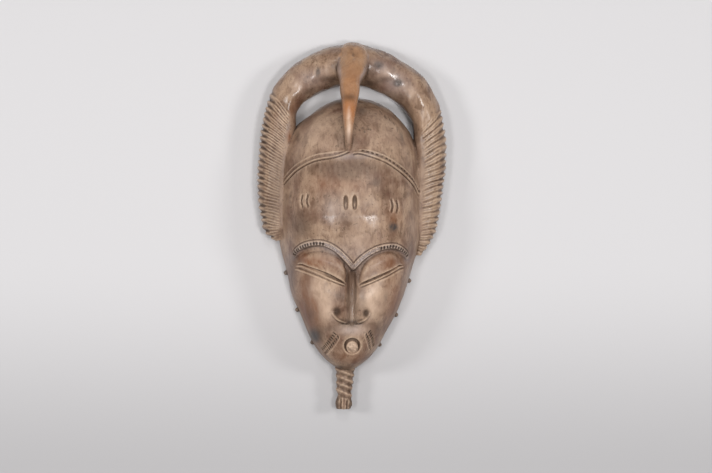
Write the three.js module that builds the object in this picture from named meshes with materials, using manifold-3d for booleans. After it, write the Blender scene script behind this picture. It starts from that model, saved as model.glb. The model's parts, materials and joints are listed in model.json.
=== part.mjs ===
// A carved wooden mask lying on its back: a hollow face with closed eyes, a round mouth and a ribbed
// beard, under a crest of two ridged horns that meet behind a long downturned beak. It is one block.
// Millimetres. +X is the viewer's right, +Y runs towards the crest and +Z comes out of the face.

import * as THREE from 'three';
import { mergeVertices } from 'three/addons/utils/BufferGeometryUtils.js';
import Module from 'manifold-3d';

// The hollow face
const FACE_LENGTH = 285;
const FACE_WIDTH = 147;
const FACE_DEPTH = 78;
const WALL = 10;

// The crest of horns, the beak and the beard
const CREST_RISE = 57;
const HORN_THICKNESS = 34;
const HORN_AXIS_HEIGHT = 15.5;
const RIDGE_PITCH = 6.4;
const RIDGE_DEPTH = 1.6;
const BEAK_WIDTH = 31;
const BEARD_LENGTH = 39;
const BEARD_WIDTH = 20;
const BEARD_RIBS = 5;
const RIB_DEPTH = 1.3;

// The carving on the face
const BROW_WIDTH = 6.5;
const BROW_RELIEF = 2;
const SOCKET_DEPTH = 4.5;
const LID_RELIEF = 3.6;
const SLIT_DEPTH = 3;
const NOSE_LENGTH = 54;
const NOSE_RELIEF = 17;
const BRIDGE_WIDTH = 5;
const NOSTRIL_SPAN = 37;
const MOUTH_RADIUS = 5.8;
const MOUTH_GROOVE = 2.3;
const MOUTH_DEPTH = 4;
const HAIRLINE_WIDTH = 6;
const HAIRLINE_RELIEF = 1.3;
const SCAR_LENGTH = 15;
const SCAR_WIDTH = 3.2;
const SCAR_DEPTH = 1.6;
const NOTCHES_PER_ROW = 6;
const NOTCH_DEPTH = 1.3;
const KNOB_RADIUS = 2.7;

// The face was drawn at these sizes, so a drawn place is stretched with the face.
const DRAWN = { length: 285, width: 147, depth: 78, top: 133, rise: 57, ridge: -2.5 };
const across = (x) => (x * FACE_WIDTH) / DRAWN.width;
const along = (y) => (y * FACE_LENGTH) / DRAWN.length;
const level = (down) => DRAWN.top - down * DRAWN.length;

const wasm = await Module();
wasm.setup();

// Solids from meshes

function signedVolume(position, index) {
  const corner = [new THREE.Vector3(), new THREE.Vector3(), new THREE.Vector3()];
  let volume = 0;
  for (let i = 0; i < index.length; i += 3) {
    corner.forEach((point, k) => point.fromArray(position, 3 * index[i + k]));
    volume += corner[0].dot(corner[1].cross(corner[2])) / 6;
  }
  return volume;
}

function solidOf(geometry) {
  const bare = geometry.clone();
  bare.deleteAttribute('normal');
  bare.deleteAttribute('uv');
  const merged = mergeVertices(bare, 1e-4);
  const position = Float32Array.from(merged.attributes.position.array);
  const index = Uint32Array.from(merged.index.array);
  if (signedVolume(position, index) < 0) {
    index.reverse();
  }
  return new wasm.Manifold(new wasm.Mesh({ numProp: 3, vertProperties: position, triVerts: index }));
}

// Joins rings of points into a closed skin, with each end drawn to a pole.
function loft(rings, firstPole, lastPole) {
  const around = rings[0].length;
  const middle = (ring) => ring.reduce((sum, p) => sum.add(p), new THREE.Vector3()).divideScalar(around);
  const points = [...rings.flat(), firstPole ?? middle(rings[0]), lastPole ?? middle(rings.at(-1))];
  const faces = [];
  rings.forEach((ring, i) => {
    for (let j = 0; j < around; j++) {
      const next = (j + 1) % around;
      const [a, b] = [i * around + j, i * around + next];
      if (i === 0) {
        faces.push(points.length - 2, b, a);
      }
      if (i === rings.length - 1) {
        faces.push(points.length - 1, a, b);
      } else {
        faces.push(a, b, b + around, a, b + around, a + around);
      }
    }
  });
  const geometry = new THREE.BufferGeometry().setFromPoints(points);
  geometry.setIndex(faces);
  return solidOf(geometry);
}

const steps = (count, from = 0, to = 1) =>
  Array.from({ length: count + 1 }, (_, i) => from + ((to - from) * i) / count);
const sum = (solids) => solids.reduce((all, next) => all.add(next));

// The form of the face

// Half the outline's width as a share of the whole half width, from the temples down to the chin.
const JAW = new THREE.SplineCurve([
  new THREE.Vector2(0, 1),
  new THREE.Vector2(0.15, 0.93),
  new THREE.Vector2(0.45, 0.765),
  new THREE.Vector2(0.72, 0.535),
  new THREE.Vector2(0.86, 0.37),
  new THREE.Vector2(0.95, 0.19),
  new THREE.Vector2(1, 0.05),
]);
const TEMPLE_HEIGHT = 43;
const JAW_TOP = -15;
const CAP_ROUNDNESS = 2.6;
const MIDDLE = along(DRAWN.top) - FACE_LENGTH / 2;
const TOP = along(DRAWN.top);
const CHIN = TOP - FACE_LENGTH;

function jawShare(down) {
  let [low, high] = [0, 1];
  for (let i = 0; i < 24; i++) {
    const mid = (low + high) / 2;
    if (JAW.getPoint(mid).x < down) {
      low = mid;
    } else {
      high = mid;
    }
  }
  return JAW.getPoint(low).y;
}

// The top of the cap stands a little to the right and is narrower there, with a lower left shoulder.
function capLean(y) {
  return THREE.MathUtils.smoothstep(y, along(95), along(120));
}

function halfWidth(y) {
  const capShare = (y - along(TEMPLE_HEIGHT)) / (TOP - along(TEMPLE_HEIGHT));
  if (capShare > 0) {
    const round = Math.sqrt(Math.max(0, 1 - capShare ** CAP_ROUNDNESS));
    return (FACE_WIDTH / 2) * round * (1 - 0.08 * capLean(y));
  }
  const jaw = (along(JAW_TOP) - y) / (along(JAW_TOP) - CHIN);
  return (FACE_WIDTH / 2) * (jaw > 0 ? jawShare(Math.min(1, jaw)) : 1);
}

// The block leans a little: the outline drifts to the left towards the chin.
function centreLine(y) {
  const down = Math.max(0, (along(DRAWN.top / 2) - y) / FACE_LENGTH);
  return across(-1.5 - 8 * down ** 2 + 3.5 * capLean(y));
}

// The front's middle line stays straighter than the outline does, so the face is a little one-sided.
function ridgeSkew(y) {
  const down = THREE.MathUtils.clamp((along(20) - y) / along(140), 0, 1);
  return (across(5) * Math.sin(Math.PI * down)) / (FACE_WIDTH / 2);
}

// Height of the face's middle line, as a share of its depth, at t from the chin (-1) to the top (1).
function profile(t) {
  const slope = 1 - 0.31 * Math.max(0, 0.13 - t) ** 1.05;
  const roundness = t > 0 ? 4 : 8;
  return slope * Math.sqrt(Math.max(0, 1 - Math.abs(t) ** roundness));
}

// How square the face is across: round over the cap and forehead, fuller down the cheeks.
function section(u, t, skew) {
  const fullness = THREE.MathUtils.mapLinear(THREE.MathUtils.clamp(t, -0.7, 0.3), -0.7, 0.3, 3.1, 2.5);
  const turned = u - skew * (1 - u * u);
  return Math.sqrt(Math.max(0, 1 - Math.abs(turned) ** fullness));
}

const shareUp = (y) => (y - MIDDLE) / (FACE_LENGTH / 2);

function faceHeight(x, y) {
  const t = shareUp(y);
  const u = (x - centreLine(y)) / Math.max(1, halfWidth(y));
  return FACE_DEPTH * profile(t) * section(THREE.MathUtils.clamp(u, -1, 1), t, ridgeSkew(y));
}

function faceNormal(x, y) {
  const probe = 1;
  const slopeX = (faceHeight(x + probe, y) - faceHeight(x - probe, y)) / (2 * probe);
  const slopeY = (faceHeight(x, y + probe) - faceHeight(x, y - probe)) / (2 * probe);
  return new THREE.Vector3(-slopeX, -slopeY, 1).normalize();
}

const facePoint = (x, y) => new THREE.Vector3(x, y, faceHeight(x, y));

// The face's skin, or with an inset the hollow behind it, as arches from one side to the other.
function dome(inset, rowCount, columnCount, reach) {
  const rows = steps(rowCount, -reach, reach).map((a) => Math.sin(a));
  const rings = rows.map((t) => {
    const y = MIDDLE + t * (FACE_LENGTH / 2 - inset);
    const outerY = MIDDLE + (t * FACE_LENGTH) / 2;
    const half = Math.max(1, halfWidth(outerY) - inset);
    const rise = FACE_DEPTH * profile(t) - inset;
    return steps(columnCount, -1, 1).map((side) => {
      const u = Math.sin((side * Math.PI) / 2);
      const z = Math.abs(side) === 1 ? 0 : rise * section(u, t, ridgeSkew(outerY));
      return new THREE.Vector3(centreLine(outerY) + half * u, y, z);
    });
  });
  const pole = (y) => new THREE.Vector3(centreLine(y), y, 0);
  return inset > 0 ? loft(rings) : loft(rings, pole(CHIN), pole(TOP));
}

// Carving that follows the face

// A bar laid along a drawn line on the face. sectionAt gives its outline as [across, out] pairs.
function bar(line, count, sectionAt) {
  const curve = new THREE.SplineCurve(line.map(([x, y]) => new THREE.Vector2(across(x), along(y))));
  const rings = steps(count).map((s) => {
    const spot = curve.getPoint(s);
    const heading = curve.getTangent(s);
    const normal = faceNormal(spot.x, spot.y);
    const side = new THREE.Vector3(-heading.y, heading.x, 0);
    side.addScaledVector(normal, -side.dot(normal)).normalize();
    const base = facePoint(spot.x, spot.y);
    return sectionAt(s).map(([a, out]) => base.clone().addScaledVector(side, a).addScaledVector(normal, out));
  });
  return loft(rings);
}

const SUNK = 3;

function raisedBar(line, count, width, relief, taper = 0.5) {
  return bar(line, count, (s) => {
    const half = (width / 2) * (1 - taper * (2 * s - 1) ** 6);
    return [
      [-half, -SOCKET_DEPTH - SUNK],
      [-half, relief],
      [half, relief],
      [half, -SOCKET_DEPTH - SUNK],
    ];
  });
}

function groove(line, count, width, depth) {
  const clear = 2;
  const flare = (clear + depth) / depth;
  return bar(line, count, (s) => {
    const half = flare * Math.max(0.3, (width / 2) * Math.sqrt(Math.max(0, 1 - (2 * s - 1) ** 2)));
    return [[-half, clear], [half, clear], [0, -depth]];
  });
}

// Brows: two flat bands that meet in a point over the nose. The right one sits a little lower.
const BROWS = {
  left: [[-59, -29], [-46, -19.5], [-31, -19.5], [-15, -28.5], [-2.5, -42.5]],
  right: [[52, -30], [42, -22.5], [28, -23], [12, -30.5], [-1.5, -42.5]],
};

// Eyes: each has an axis from its outer corner to its inner one, and the socket is sunk on both sides.
const EYES = {
  left: { outer: [-60, -42.5], inner: [-9.5, -60], up: 1 },
  right: { outer: [52, -42], inner: [5.5, -60.5], up: -1 },
};
const SOCKET_RISE = (s) => 4 + 18 * Math.sin(Math.PI * s ** 0.8) + 10 * s;
const LID_RISE = (s) => 2 + 19 * Math.sin(Math.PI * Math.min(1, s ** 0.85)) ** 0.8;

function eyeLine(eye, shift = 0) {
  const [[x0, y0], [x1, y1]] = [eye.outer, eye.inner];
  const sag = (s) => shift - 0.6 * Math.sin(Math.PI * s);
  return steps(4).map((s) => [x0 + (x1 - x0) * s, y0 + (y1 - y0) * s + sag(s)]);
}

function socket(eye) {
  return bar(eyeLine(eye), 9, (s) => {
    const rise = SOCKET_RISE(s) * eye.up;
    const fall = -16 * eye.up * Math.sin(Math.PI * THREE.MathUtils.clamp(s, 0.08, 0.92)) ** 0.6;
    const depth = SOCKET_DEPTH * Math.min(1, 6 * s + 0.1);
    return [[rise, 6], [rise, -depth * 0.9], [rise * 0.4, -depth], [fall, 1], [fall, 6]];
  });
}

function eyelid(eye) {
  return bar(eyeLine(eye, 1.5), 9, (s) => {
    const rise = LID_RISE(s) * eye.up;
    const swell = LID_RELIEF * Math.sin(Math.PI * THREE.MathUtils.clamp(s, 0.04, 0.96)) ** 0.5;
    const floor = -SOCKET_DEPTH;
    return [
      [0, floor - SUNK],
      [0, floor + swell * 0.85],
      [rise * 0.25, floor + swell],
      [rise * 0.65, floor + swell * 0.75],
      [rise, floor],
      [rise, floor - SUNK],
    ];
  });
}

function eyeRim(eye) {
  return bar(eyeLine(eye, -3.4), 7, (s) => {
    const half = 1.2 + 1.2 * Math.sin(Math.PI * s);
    const top = -SOCKET_DEPTH * 0.2;
    return [[-half, -SOCKET_DEPTH - SUNK], [-half, top - 1], [0, top], [half, top - 1], [half, -SOCKET_DEPTH - SUNK]];
  });
}

// Nose: a narrow flat bridge that comes forward to its tip, with a small wing on each side.
function nose() {
  const [top, bottom] = [-44, -44 - NOSE_LENGTH];
  const line = [[DRAWN.ridge, top], [DRAWN.ridge, bottom]];
  const blade = bar(line, 6, (s) => {
    const relief = NOSE_RELIEF * Math.min(1, 0.12 + 0.95 * s) * (s === 1 ? 0.82 : 1) - 1.5;
    const bridge = BRIDGE_WIDTH / 2;
    const foot = bridge + 2 + 5.5 * s ** 1.5;
    return [
      [-foot, -SOCKET_DEPTH - SUNK],
      [-foot, -1.5 - 2 * (1 - s)],
      [-bridge - 0.6, relief * 0.75],
      [-bridge * 0.7, relief],
      [bridge * 0.7, relief],
      [bridge + 0.6, relief * 0.75],
      [foot, -1.5 - 2 * (1 - s)],
      [foot, -SOCKET_DEPTH - SUNK],
    ];
  });
  const reach = NOSTRIL_SPAN / 2;
  const wings = [-1, 1].map((side) => {
    const root = DRAWN.ridge + side * 3;
    const tip = DRAWN.ridge + side * reach;
    const wingLine = [[root, bottom + 4], [(root + tip) / 2, bottom + 2.5], [tip, bottom + 7]];
    return bar(wingLine, 4, (s) => {
      const half = 5.2 * (1 - 0.45 * s ** 2);
      const relief = 7.5 * (1 - 0.75 * s ** 1.6);
      return [[-half, -SUNK], [-half, relief * 0.5], [0, relief], [half, relief * 0.4], [half, -SUNK]];
    });
  });
  return sum([blade, ...wings]);
}

// Mouth: a round plug inside a ring groove.
const MOUTH = [-0.8, -123];

function standing(geometry, x, y, lift) {
  const normal = faceNormal(across(x), along(y));
  const turn = new THREE.Quaternion().setFromUnitVectors(new THREE.Vector3(0, 1, 0), normal);
  const place = facePoint(across(x), along(y)).addScaledVector(normal, lift);
  const moved = geometry.clone().applyQuaternion(turn).translate(place.x, place.y, place.z);
  return solidOf(moved);
}

function mouthHollow() {
  const radius = MOUTH_RADIUS + MOUTH_GROOVE;
  const bore = new THREE.CylinderGeometry(radius, radius - 0.8, 2 * MOUTH_DEPTH, 16);
  return standing(bore, ...MOUTH, 0);
}

function mouthPlug() {
  const height = 2 * MOUTH_DEPTH;
  const plug = new THREE.CylinderGeometry(MOUTH_RADIUS - 0.9, MOUTH_RADIUS, height, 16);
  return standing(plug, ...MOUTH, 0.9 - height / 2);
}

// Scars: pairs of upright leaf-shaped cuts on the temples and in the middle of the forehead.
const SCARS = [[-52, 24], [-46.5, 24], [-9.3, 23], [-0.3, 23], [37, 19.5], [42.5, 19.5]];

function scar([x, y]) {
  const half = (SCAR_LENGTH / 2) * (DRAWN.length / FACE_LENGTH);
  return groove([[x, y - half], [x, y], [x, y + half]], 4, SCAR_WIDTH, SCAR_DEPTH);
}

// Hairline: a flat band between two fine ridges that dips to the beak's tip.
const HAIRLINES = {
  left: [[-7, 74], [-22, 71.5], [-42, 67.5], [-58, 58.5], [-67, 49.5]],
  right: [[1, 73.5], [16, 72], [34, 65.5], [51, 54], [62.5, 43]],
};

function hairline(line) {
  const half = HAIRLINE_WIDTH / 2;
  return bar(line, 7, () => [
    [-half, -SUNK],
    [-half, HAIRLINE_RELIEF],
    [-half * 0.5, HAIRLINE_RELIEF],
    [-half * 0.35, 0.3],
    [half * 0.35, 0.3],
    [half * 0.5, HAIRLINE_RELIEF],
    [half, HAIRLINE_RELIEF],
    [half, -SUNK],
  ]);
}

// Cheek patches: two rows of short slanting notches on each side of the mouth. Each end has its place
// across and how far down the face it is.
const PATCHES = [
  { from: [-17.5, 0.851], to: [-28, 0.926], slant: 1 },
  { from: [13, 0.847], to: [22.5, 0.907], slant: -1 },
];

function notches(patch) {
  const [start, end] = [patch.from, patch.to].map(([x, down]) => new THREE.Vector2(x, level(down)));
  const down = end.clone().sub(start).normalize();
  const out = new THREE.Vector2(-down.y, down.x);
  return [-1, 1].flatMap((row) =>
    steps(NOTCHES_PER_ROW - 1).map((s) => {
      const spot = start.clone().lerp(end, s).addScaledVector(out, row * 2.3);
      const lean = out.clone().multiplyScalar(1.7).addScaledVector(down, 1.1 * row * patch.slant);
      const line = [spot.clone().sub(lean), spot, spot.clone().add(lean)].map((p) => [p.x, p.y]);
      return groove(line, 2, 1.5, NOTCH_DEPTH);
    }),
  );
}

// Knobs: three small bosses down each side of the jaw, half sunk in the rim. Each has its side and how
// far down the face it is, as a share of the face's length.
const KNOBS = [[-1, 0.639], [-1, 0.774], [-1, 0.893], [1, 0.668], [1, 0.793], [1, 0.895]];

function knob([side, down]) {
  const height = along(level(down));
  const reach = halfWidth(height) + KNOB_RADIUS * 0.1;
  const ball = new THREE.SphereGeometry(KNOB_RADIUS, 6, 4).scale(1, 1.15, 1);
  const x = centreLine(height) + side * reach;
  return solidOf(ball.translate(x, height, KNOB_RADIUS * 2.2));
}

// The crest

// Each horn runs from the middle of the crest round to its tip beside the cheek. A stop on the way
// gives its place and its thickness, as a share of the full thickness.
const HORNS = {
  left: {
    stops: [
      [7, 165.8, 1.24], [-7, 165.8, 1.24], [-26.5, 161.5, 1.18], [-49.5, 150.5, 1.1], [-67.5, 131, 0.99], [-78, 99, 0.91],
      [-81.8, 67, 0.87], [-83.8, 37, 0.8], [-82.5, 9, 0.7], [-81, -4, 0.6], [-75.5, -15.5, 0.18],
    ],
    ridgesFrom: 0.4,
  },
  right: {
    stops: [
      [-7, 165.8, 1.24], [7, 165.8, 1.24], [37, 156.3, 1.17], [61, 140, 1.12], [75, 118.5, 0.95], [81.8, 92, 0.87],
      [83.3, 72.5, 0.84], [81, 33, 0.75], [79, 11, 0.66], [76.5, -8, 0.54], [68.5, -31, 0.16],
    ],
    ridgesFrom: 0.44,
  },
};

// A place on the crest is stretched with the crest above the cap, and with the face beside it.
function crestPlace(x, y) {
  const above = Math.max(0, y - DRAWN.top);
  const height = along(Math.min(y, DRAWN.top)) + (above * CREST_RISE) / DRAWN.rise;
  return new THREE.Vector2(across(x), height);
}

// The ridges slant down towards the face: most at the shoulder, and least at the tip.
function slantAt(s, ridgesFrom) {
  const start = ridgesFrom / 2;
  const most = 0.5;
  const least = 0.2;
  return s < ridgesFrom
    ? most * THREE.MathUtils.smoothstep(s, start, ridgesFrom)
    : THREE.MathUtils.mapLinear(s, ridgesFrom, 1, most, least);
}

function horn({ stops, ridgesFrom }, side) {
  const route = new THREE.CatmullRomCurve3(
    stops.map(([x, y, share]) => {
      const place = crestPlace(x, y);
      return new THREE.Vector3(place.x, place.y, share);
    }),
  );
  const ridgeCount = Math.round((route.getLength() * (1 - ridgesFrom)) / RIDGE_PITCH);
  const smooth = steps(8, 0, ridgesFrom).slice(0, -1);
  const ridged = steps(2 * ridgeCount, ridgesFrom, 1);
  const ring = (s, bump) => {
    const spot = route.getPointAt(s);
    const heading = route.getTangentAt(s).setZ(0).normalize();
    const outward = new THREE.Vector3(-side * heading.y, side * heading.x, 0);
    const round = (HORN_THICKNESS / 2) * spot.z;
    const slant = slantAt(s, ridgesFrom);
    return steps(8)
      .slice(0, -1)
      .map((turn) => {
        const angle = turn * 2 * Math.PI;
        const radius = round + bump * THREE.MathUtils.smoothstep(Math.cos(angle), -0.75, 0);
        const out = radius * Math.cos(angle);
        const up = radius * 1.08 * Math.sin(angle);
        return new THREE.Vector3(spot.x, spot.y, HORN_AXIS_HEIGHT + up)
          .addScaledVector(outward, out)
          .addScaledVector(heading, -slant * out);
      });
  };
  const rings = smooth.map((s) => ring(s, 0));
  ridged.forEach((s, i) => rings.push(ring(s, i % 2 ? RIDGE_DEPTH / 2 : -RIDGE_DEPTH / 2)));
  return loft(rings);
}

// Beak: a rounded head over the middle of the crest that narrows, rises clear of the cap and comes
// down on the hairline. A stop gives x, y, height, and half its width and depth as shares of the width.
const BEAK = [
  [0.8, 181.2, 14, 0.42, 0.33], [0.7, 172, 26, 0.51, 0.44], [-0.3, 160, 38, 0.5, 0.4], [-3.4, 146, 50, 0.36, 0.34],
  [-4.8, 130, 62, 0.29, 0.28], [-5.6, 114, 70, 0.22, 0.24], [-6.3, 98, 73, 0.155, 0.2], [-6.5, 84, 72, 0.12, 0.16],
  [-6.5, 75, 70, 0.09, 0.12],
];

const squared = (share) => Math.sign(share) * Math.abs(share) ** 0.8;

function beak() {
  const spine = BEAK.map(([x, y, z]) => {
    const place = crestPlace(x, y);
    return new THREE.Vector3(place.x, place.y, (z * FACE_DEPTH) / DRAWN.depth);
  });
  const route = new THREE.CatmullRomCurve3(spine);
  const shares = new THREE.CatmullRomCurve3(BEAK.map(([, , , w, d]) => new THREE.Vector3(w, d, 0)));
  const rings = steps(13).map((s) => {
    const spot = route.getPoint(s);
    const heading = route.getTangent(s);
    const side = new THREE.Vector3(1, 0, 0);
    const front = side.clone().cross(heading).negate().normalize();
    const size = shares.getPoint(s).multiplyScalar(BEAK_WIDTH);
    return steps(12)
      .slice(0, -1)
      .map((turn) => {
        const angle = turn * 2 * Math.PI;
        return spot
          .clone()
          .addScaledVector(side, size.x * squared(Math.cos(angle)))
          .addScaledVector(front, size.y * squared(Math.sin(angle)));
      });
  });
  return loft(rings);
}

// Beard: a plaited tongue below the chin, with slanting ribs and a tuft at its end.
function beard() {
  const x0 = centreLine(CHIN) - across(1);
  const overlap = 8;
  const top = CHIN + overlap;
  const length = BEARD_LENGTH + overlap - 1;
  const ribbed = 0.74;
  const rings = steps(22).map((s, i) => {
    const y = top - length * s;
    const waist = THREE.MathUtils.mapLinear(Math.min(s, ribbed), 0, ribbed, 1.0, 0.7);
    const tuft = s > ribbed ? 0.12 * Math.sin((Math.PI * (s - ribbed)) / (1 - ribbed)) ** 0.6 : 0;
    const beat = Math.sin((s / ribbed) * BEARD_RIBS * 2 * Math.PI);
    const half = (BEARD_WIDTH / 2) * (waist + tuft) + (s < ribbed ? (RIB_DEPTH / 2) * beat : 0);
    const slant = s < ribbed ? 0.3 : 0;
    return steps(8)
      .slice(0, -1)
      .map((turn) => {
        const angle = turn * 2 * Math.PI;
        const out = half * Math.cos(angle);
        return new THREE.Vector3(x0 + out - 1.5 * s, y - slant * out, 13 + half * 1.05 * Math.sin(angle));
      });
  });
  return loft(rings);
}

// The block, carved

const shell = dome(0, 32, 24, 1.5);
const hollow = dome(WALL, 12, 14, 1.24);
const below = solidOf(new THREE.BoxGeometry(600, 800, 100).translate(0, 0, -50));

const forms = sum([
  horn(HORNS.left, -1),
  horn(HORNS.right, 1),
  beak(),
  beard(),
  ...KNOBS.map(knob),
]);
const socketed = shell
  .subtract(sum(Object.values(EYES).map(socket)))
  .subtract(mouthHollow());
const dressed = sum([
  socketed,
  ...Object.values(BROWS).map((line) => raisedBar(line, 10, BROW_WIDTH, BROW_RELIEF, 0.7)),
  ...Object.values(EYES).flatMap((eye) => [eyelid(eye), eyeRim(eye)]),
  ...Object.values(HAIRLINES).map(hairline),
  nose(),
  mouthPlug(),
  forms,
]);
const cuts = sum([...SCARS.map(scar), ...PATCHES.flatMap(notches), ...Object.values(EYES).map((eye) =>
  groove(eyeLine(eye, -0.5), 6, 2.6, SOCKET_DEPTH + SLIT_DEPTH))]);
const carved = dressed.subtract(cuts).subtract(hollow).subtract(below);

function geometryOf(solid) {
  const { numProp, vertProperties, triVerts } = solid.getMesh();
  const geometry = new THREE.BufferGeometry();
  const position = new Float32Array((vertProperties.length / numProp) * 3);
  for (let i = 0; i < position.length / 3; i++) {
    position.set(vertProperties.subarray(i * numProp, i * numProp + 3), 3 * i);
  }
  geometry.setAttribute('position', new THREE.BufferAttribute(position, 3));
  geometry.setIndex(Array.from(triVerts));
  geometry.computeVertexNormals();
  return geometry;
}

const wood = new THREE.MeshStandardMaterial({ color: 0x8f7663, roughness: 0.55, metalness: 0 });
const mask = new THREE.Mesh(geometryOf(carved), wood);
mask.name = 'mask';

// The origin is under the middle of the mask, on the surface that it lies on.
const bounds = new THREE.Box3().setFromObject(mask);
const middle = bounds.getCenter(new THREE.Vector3());
mask.geometry.translate(-middle.x, -middle.y, -bounds.min.z);

const object = new THREE.Group();
object.add(mask);

export default object;
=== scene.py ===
# The looks of a carved wooden face mask with a crest of horns and a long beak, lying on its back.
# The carving is worked out in millimetres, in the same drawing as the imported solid, and set on it.

import json
import math

import bpy
import numpy as np
from mathutils import Matrix, Vector

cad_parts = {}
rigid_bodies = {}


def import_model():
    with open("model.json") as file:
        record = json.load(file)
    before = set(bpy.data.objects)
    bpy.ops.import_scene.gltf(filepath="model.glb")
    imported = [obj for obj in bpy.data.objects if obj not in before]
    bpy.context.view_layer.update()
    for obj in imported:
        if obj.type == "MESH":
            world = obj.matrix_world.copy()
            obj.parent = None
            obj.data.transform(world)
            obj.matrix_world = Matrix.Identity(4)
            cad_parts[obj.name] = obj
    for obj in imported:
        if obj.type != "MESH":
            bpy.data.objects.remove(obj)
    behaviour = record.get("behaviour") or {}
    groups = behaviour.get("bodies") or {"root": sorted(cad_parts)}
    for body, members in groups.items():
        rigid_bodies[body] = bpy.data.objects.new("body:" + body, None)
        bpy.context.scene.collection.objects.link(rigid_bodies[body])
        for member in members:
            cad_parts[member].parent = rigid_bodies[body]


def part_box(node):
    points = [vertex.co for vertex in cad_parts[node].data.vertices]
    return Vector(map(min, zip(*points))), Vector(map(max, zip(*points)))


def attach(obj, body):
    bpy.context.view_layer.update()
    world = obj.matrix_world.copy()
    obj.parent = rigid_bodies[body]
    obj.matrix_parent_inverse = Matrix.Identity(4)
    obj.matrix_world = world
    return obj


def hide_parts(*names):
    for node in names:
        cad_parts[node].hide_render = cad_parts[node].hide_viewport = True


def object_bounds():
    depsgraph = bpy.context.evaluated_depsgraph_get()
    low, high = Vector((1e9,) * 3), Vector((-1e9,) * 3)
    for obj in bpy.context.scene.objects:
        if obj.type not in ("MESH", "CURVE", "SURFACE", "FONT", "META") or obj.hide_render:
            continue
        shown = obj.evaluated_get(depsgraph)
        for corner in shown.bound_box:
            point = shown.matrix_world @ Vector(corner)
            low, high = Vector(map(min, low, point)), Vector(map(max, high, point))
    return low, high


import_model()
cad_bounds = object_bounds()

# The hollow face. The real one is the front of a split log, cut to a long oval that narrows to the
# chin, then rounded with an adze and a knife. Its outline leans a little, as hand carving does.

low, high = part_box("mask")
DRAWN_HEIGHT = 379.32
MM = (high.y - low.y) / DRAWN_HEIGHT
FACE_TOP = 133
FACE_LENGTH = 285
FACE_HALF_WIDTH = 73.5
FACE_DEPTH = 78
WALL = 10
TEMPLE_HEIGHT = 43
JAW_TOP = -15
CHIN = FACE_TOP - FACE_LENGTH
MIDDLE = FACE_TOP - FACE_LENGTH / 2
JAW_STOPS = [(0, 1), (0.15, 0.93), (0.45, 0.765), (0.72, 0.535), (0.86, 0.37), (0.95, 0.19), (1, 0.05)]


def ramp(low_edge, high_edge, value):
    """From 0 at one edge to 1 at the other, soft at both."""
    share = np.clip((value - low_edge) / (high_edge - low_edge), 0, 1)
    return share * share * (3 - 2 * share)


def through(stops, count):
    """A smooth curve through a few stops, with the same number of points between any two."""
    stops = np.array(stops, float)
    padded = np.vstack((2 * stops[0] - stops[1], stops, 2 * stops[-1] - stops[-2]))
    place = np.linspace(0, len(stops) - 1, count)
    start = np.minimum(place.astype(int), len(stops) - 2)
    t = (place - start)[:, None]
    a, b, c, d = (padded[start + k] for k in range(4))
    return 0.5 * (2 * b + (c - a) * t + (2 * a - 5 * b + 4 * c - d) * t**2 + (3 * b - a - 3 * c + d) * t**3)


jaw_curve = through(JAW_STOPS, 400)


def half_width(y):
    cap_share = np.clip((y - TEMPLE_HEIGHT) / (FACE_TOP - TEMPLE_HEIGHT), 0, 1)
    cap = np.sqrt(1 - cap_share**2.6) * (1 - 0.08 * ramp(95, 120, y))
    jaw = np.interp((JAW_TOP - y) / (JAW_TOP - CHIN), jaw_curve[:, 0], jaw_curve[:, 1])
    return FACE_HALF_WIDTH * np.where(y > JAW_TOP, cap, jaw)


def centre_line(y):
    return -1.5 - 8 * np.maximum(0, (FACE_TOP / 2 - y) / FACE_LENGTH) ** 2 + 3.5 * ramp(95, 120, y)


def ridge_skew(y):
    return 5 * np.sin(np.pi * np.clip((20 - y) / 140, 0, 1)) / FACE_HALF_WIDTH


def profile(t):
    slope = 1 - 0.31 * np.maximum(0, 0.13 - t) ** 1.05
    return slope * np.sqrt(np.maximum(0, 1 - np.abs(t) ** np.where(t > 0, 4, 8)))


def section(u, t, skew):
    fullness = np.interp(t, [-0.7, 0.3], [3.1, 2.5])
    return np.sqrt(np.maximum(0, 1 - np.abs(u - skew * (1 - u * u)) ** fullness))


def face_height(x, y):
    t = (y - MIDDLE) / (FACE_LENGTH / 2)
    u = np.clip((x - centre_line(y)) / np.maximum(1, half_width(y)), -1, 1)
    return FACE_DEPTH * profile(t) * section(u, t, ridge_skew(y))


def dome(rows, columns, reach, inset):
    """Arches from one side of the face to the other, or of the hollow behind it."""
    t = np.sin(np.linspace(-reach, reach, rows))[:, None]
    side = np.linspace(-1, 1, columns)[None, :]
    u = np.sin(side * np.pi / 2)
    outer_y = MIDDLE + t * FACE_LENGTH / 2
    y = MIDDLE + t * (FACE_LENGTH / 2 - inset) + 0 * u
    x = centre_line(outer_y) + np.maximum(1, half_width(outer_y) - inset) * u
    z = (FACE_DEPTH * profile(t) - inset) * section(u, t, ridge_skew(outer_y))
    z[:, [0, -1]] = 0
    return np.dstack((x, y, z))


def facing(grid):
    """The direction that each point of a grid faces."""
    across = np.gradient(grid, axis=1)
    along = np.gradient(grid, axis=0)
    normal = np.cross(across, along)
    return normal / np.maximum(1e-9, np.linalg.norm(normal, axis=2, keepdims=True))


def waves(points, size, seed, count=14):
    """Smooth unevenness of a given size in millimetres, between about -1 and 1."""
    chance = np.random.default_rng(seed)
    total = np.zeros(points.shape[:-1])
    for _ in range(count):
        way = chance.normal(size=3)
        way *= 2 * math.pi / (size * chance.uniform(0.7, 1.6) * np.linalg.norm(way))
        total += np.sin(points @ way + chance.uniform(0, 2 * math.pi))
    return total / math.sqrt(count)


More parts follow.
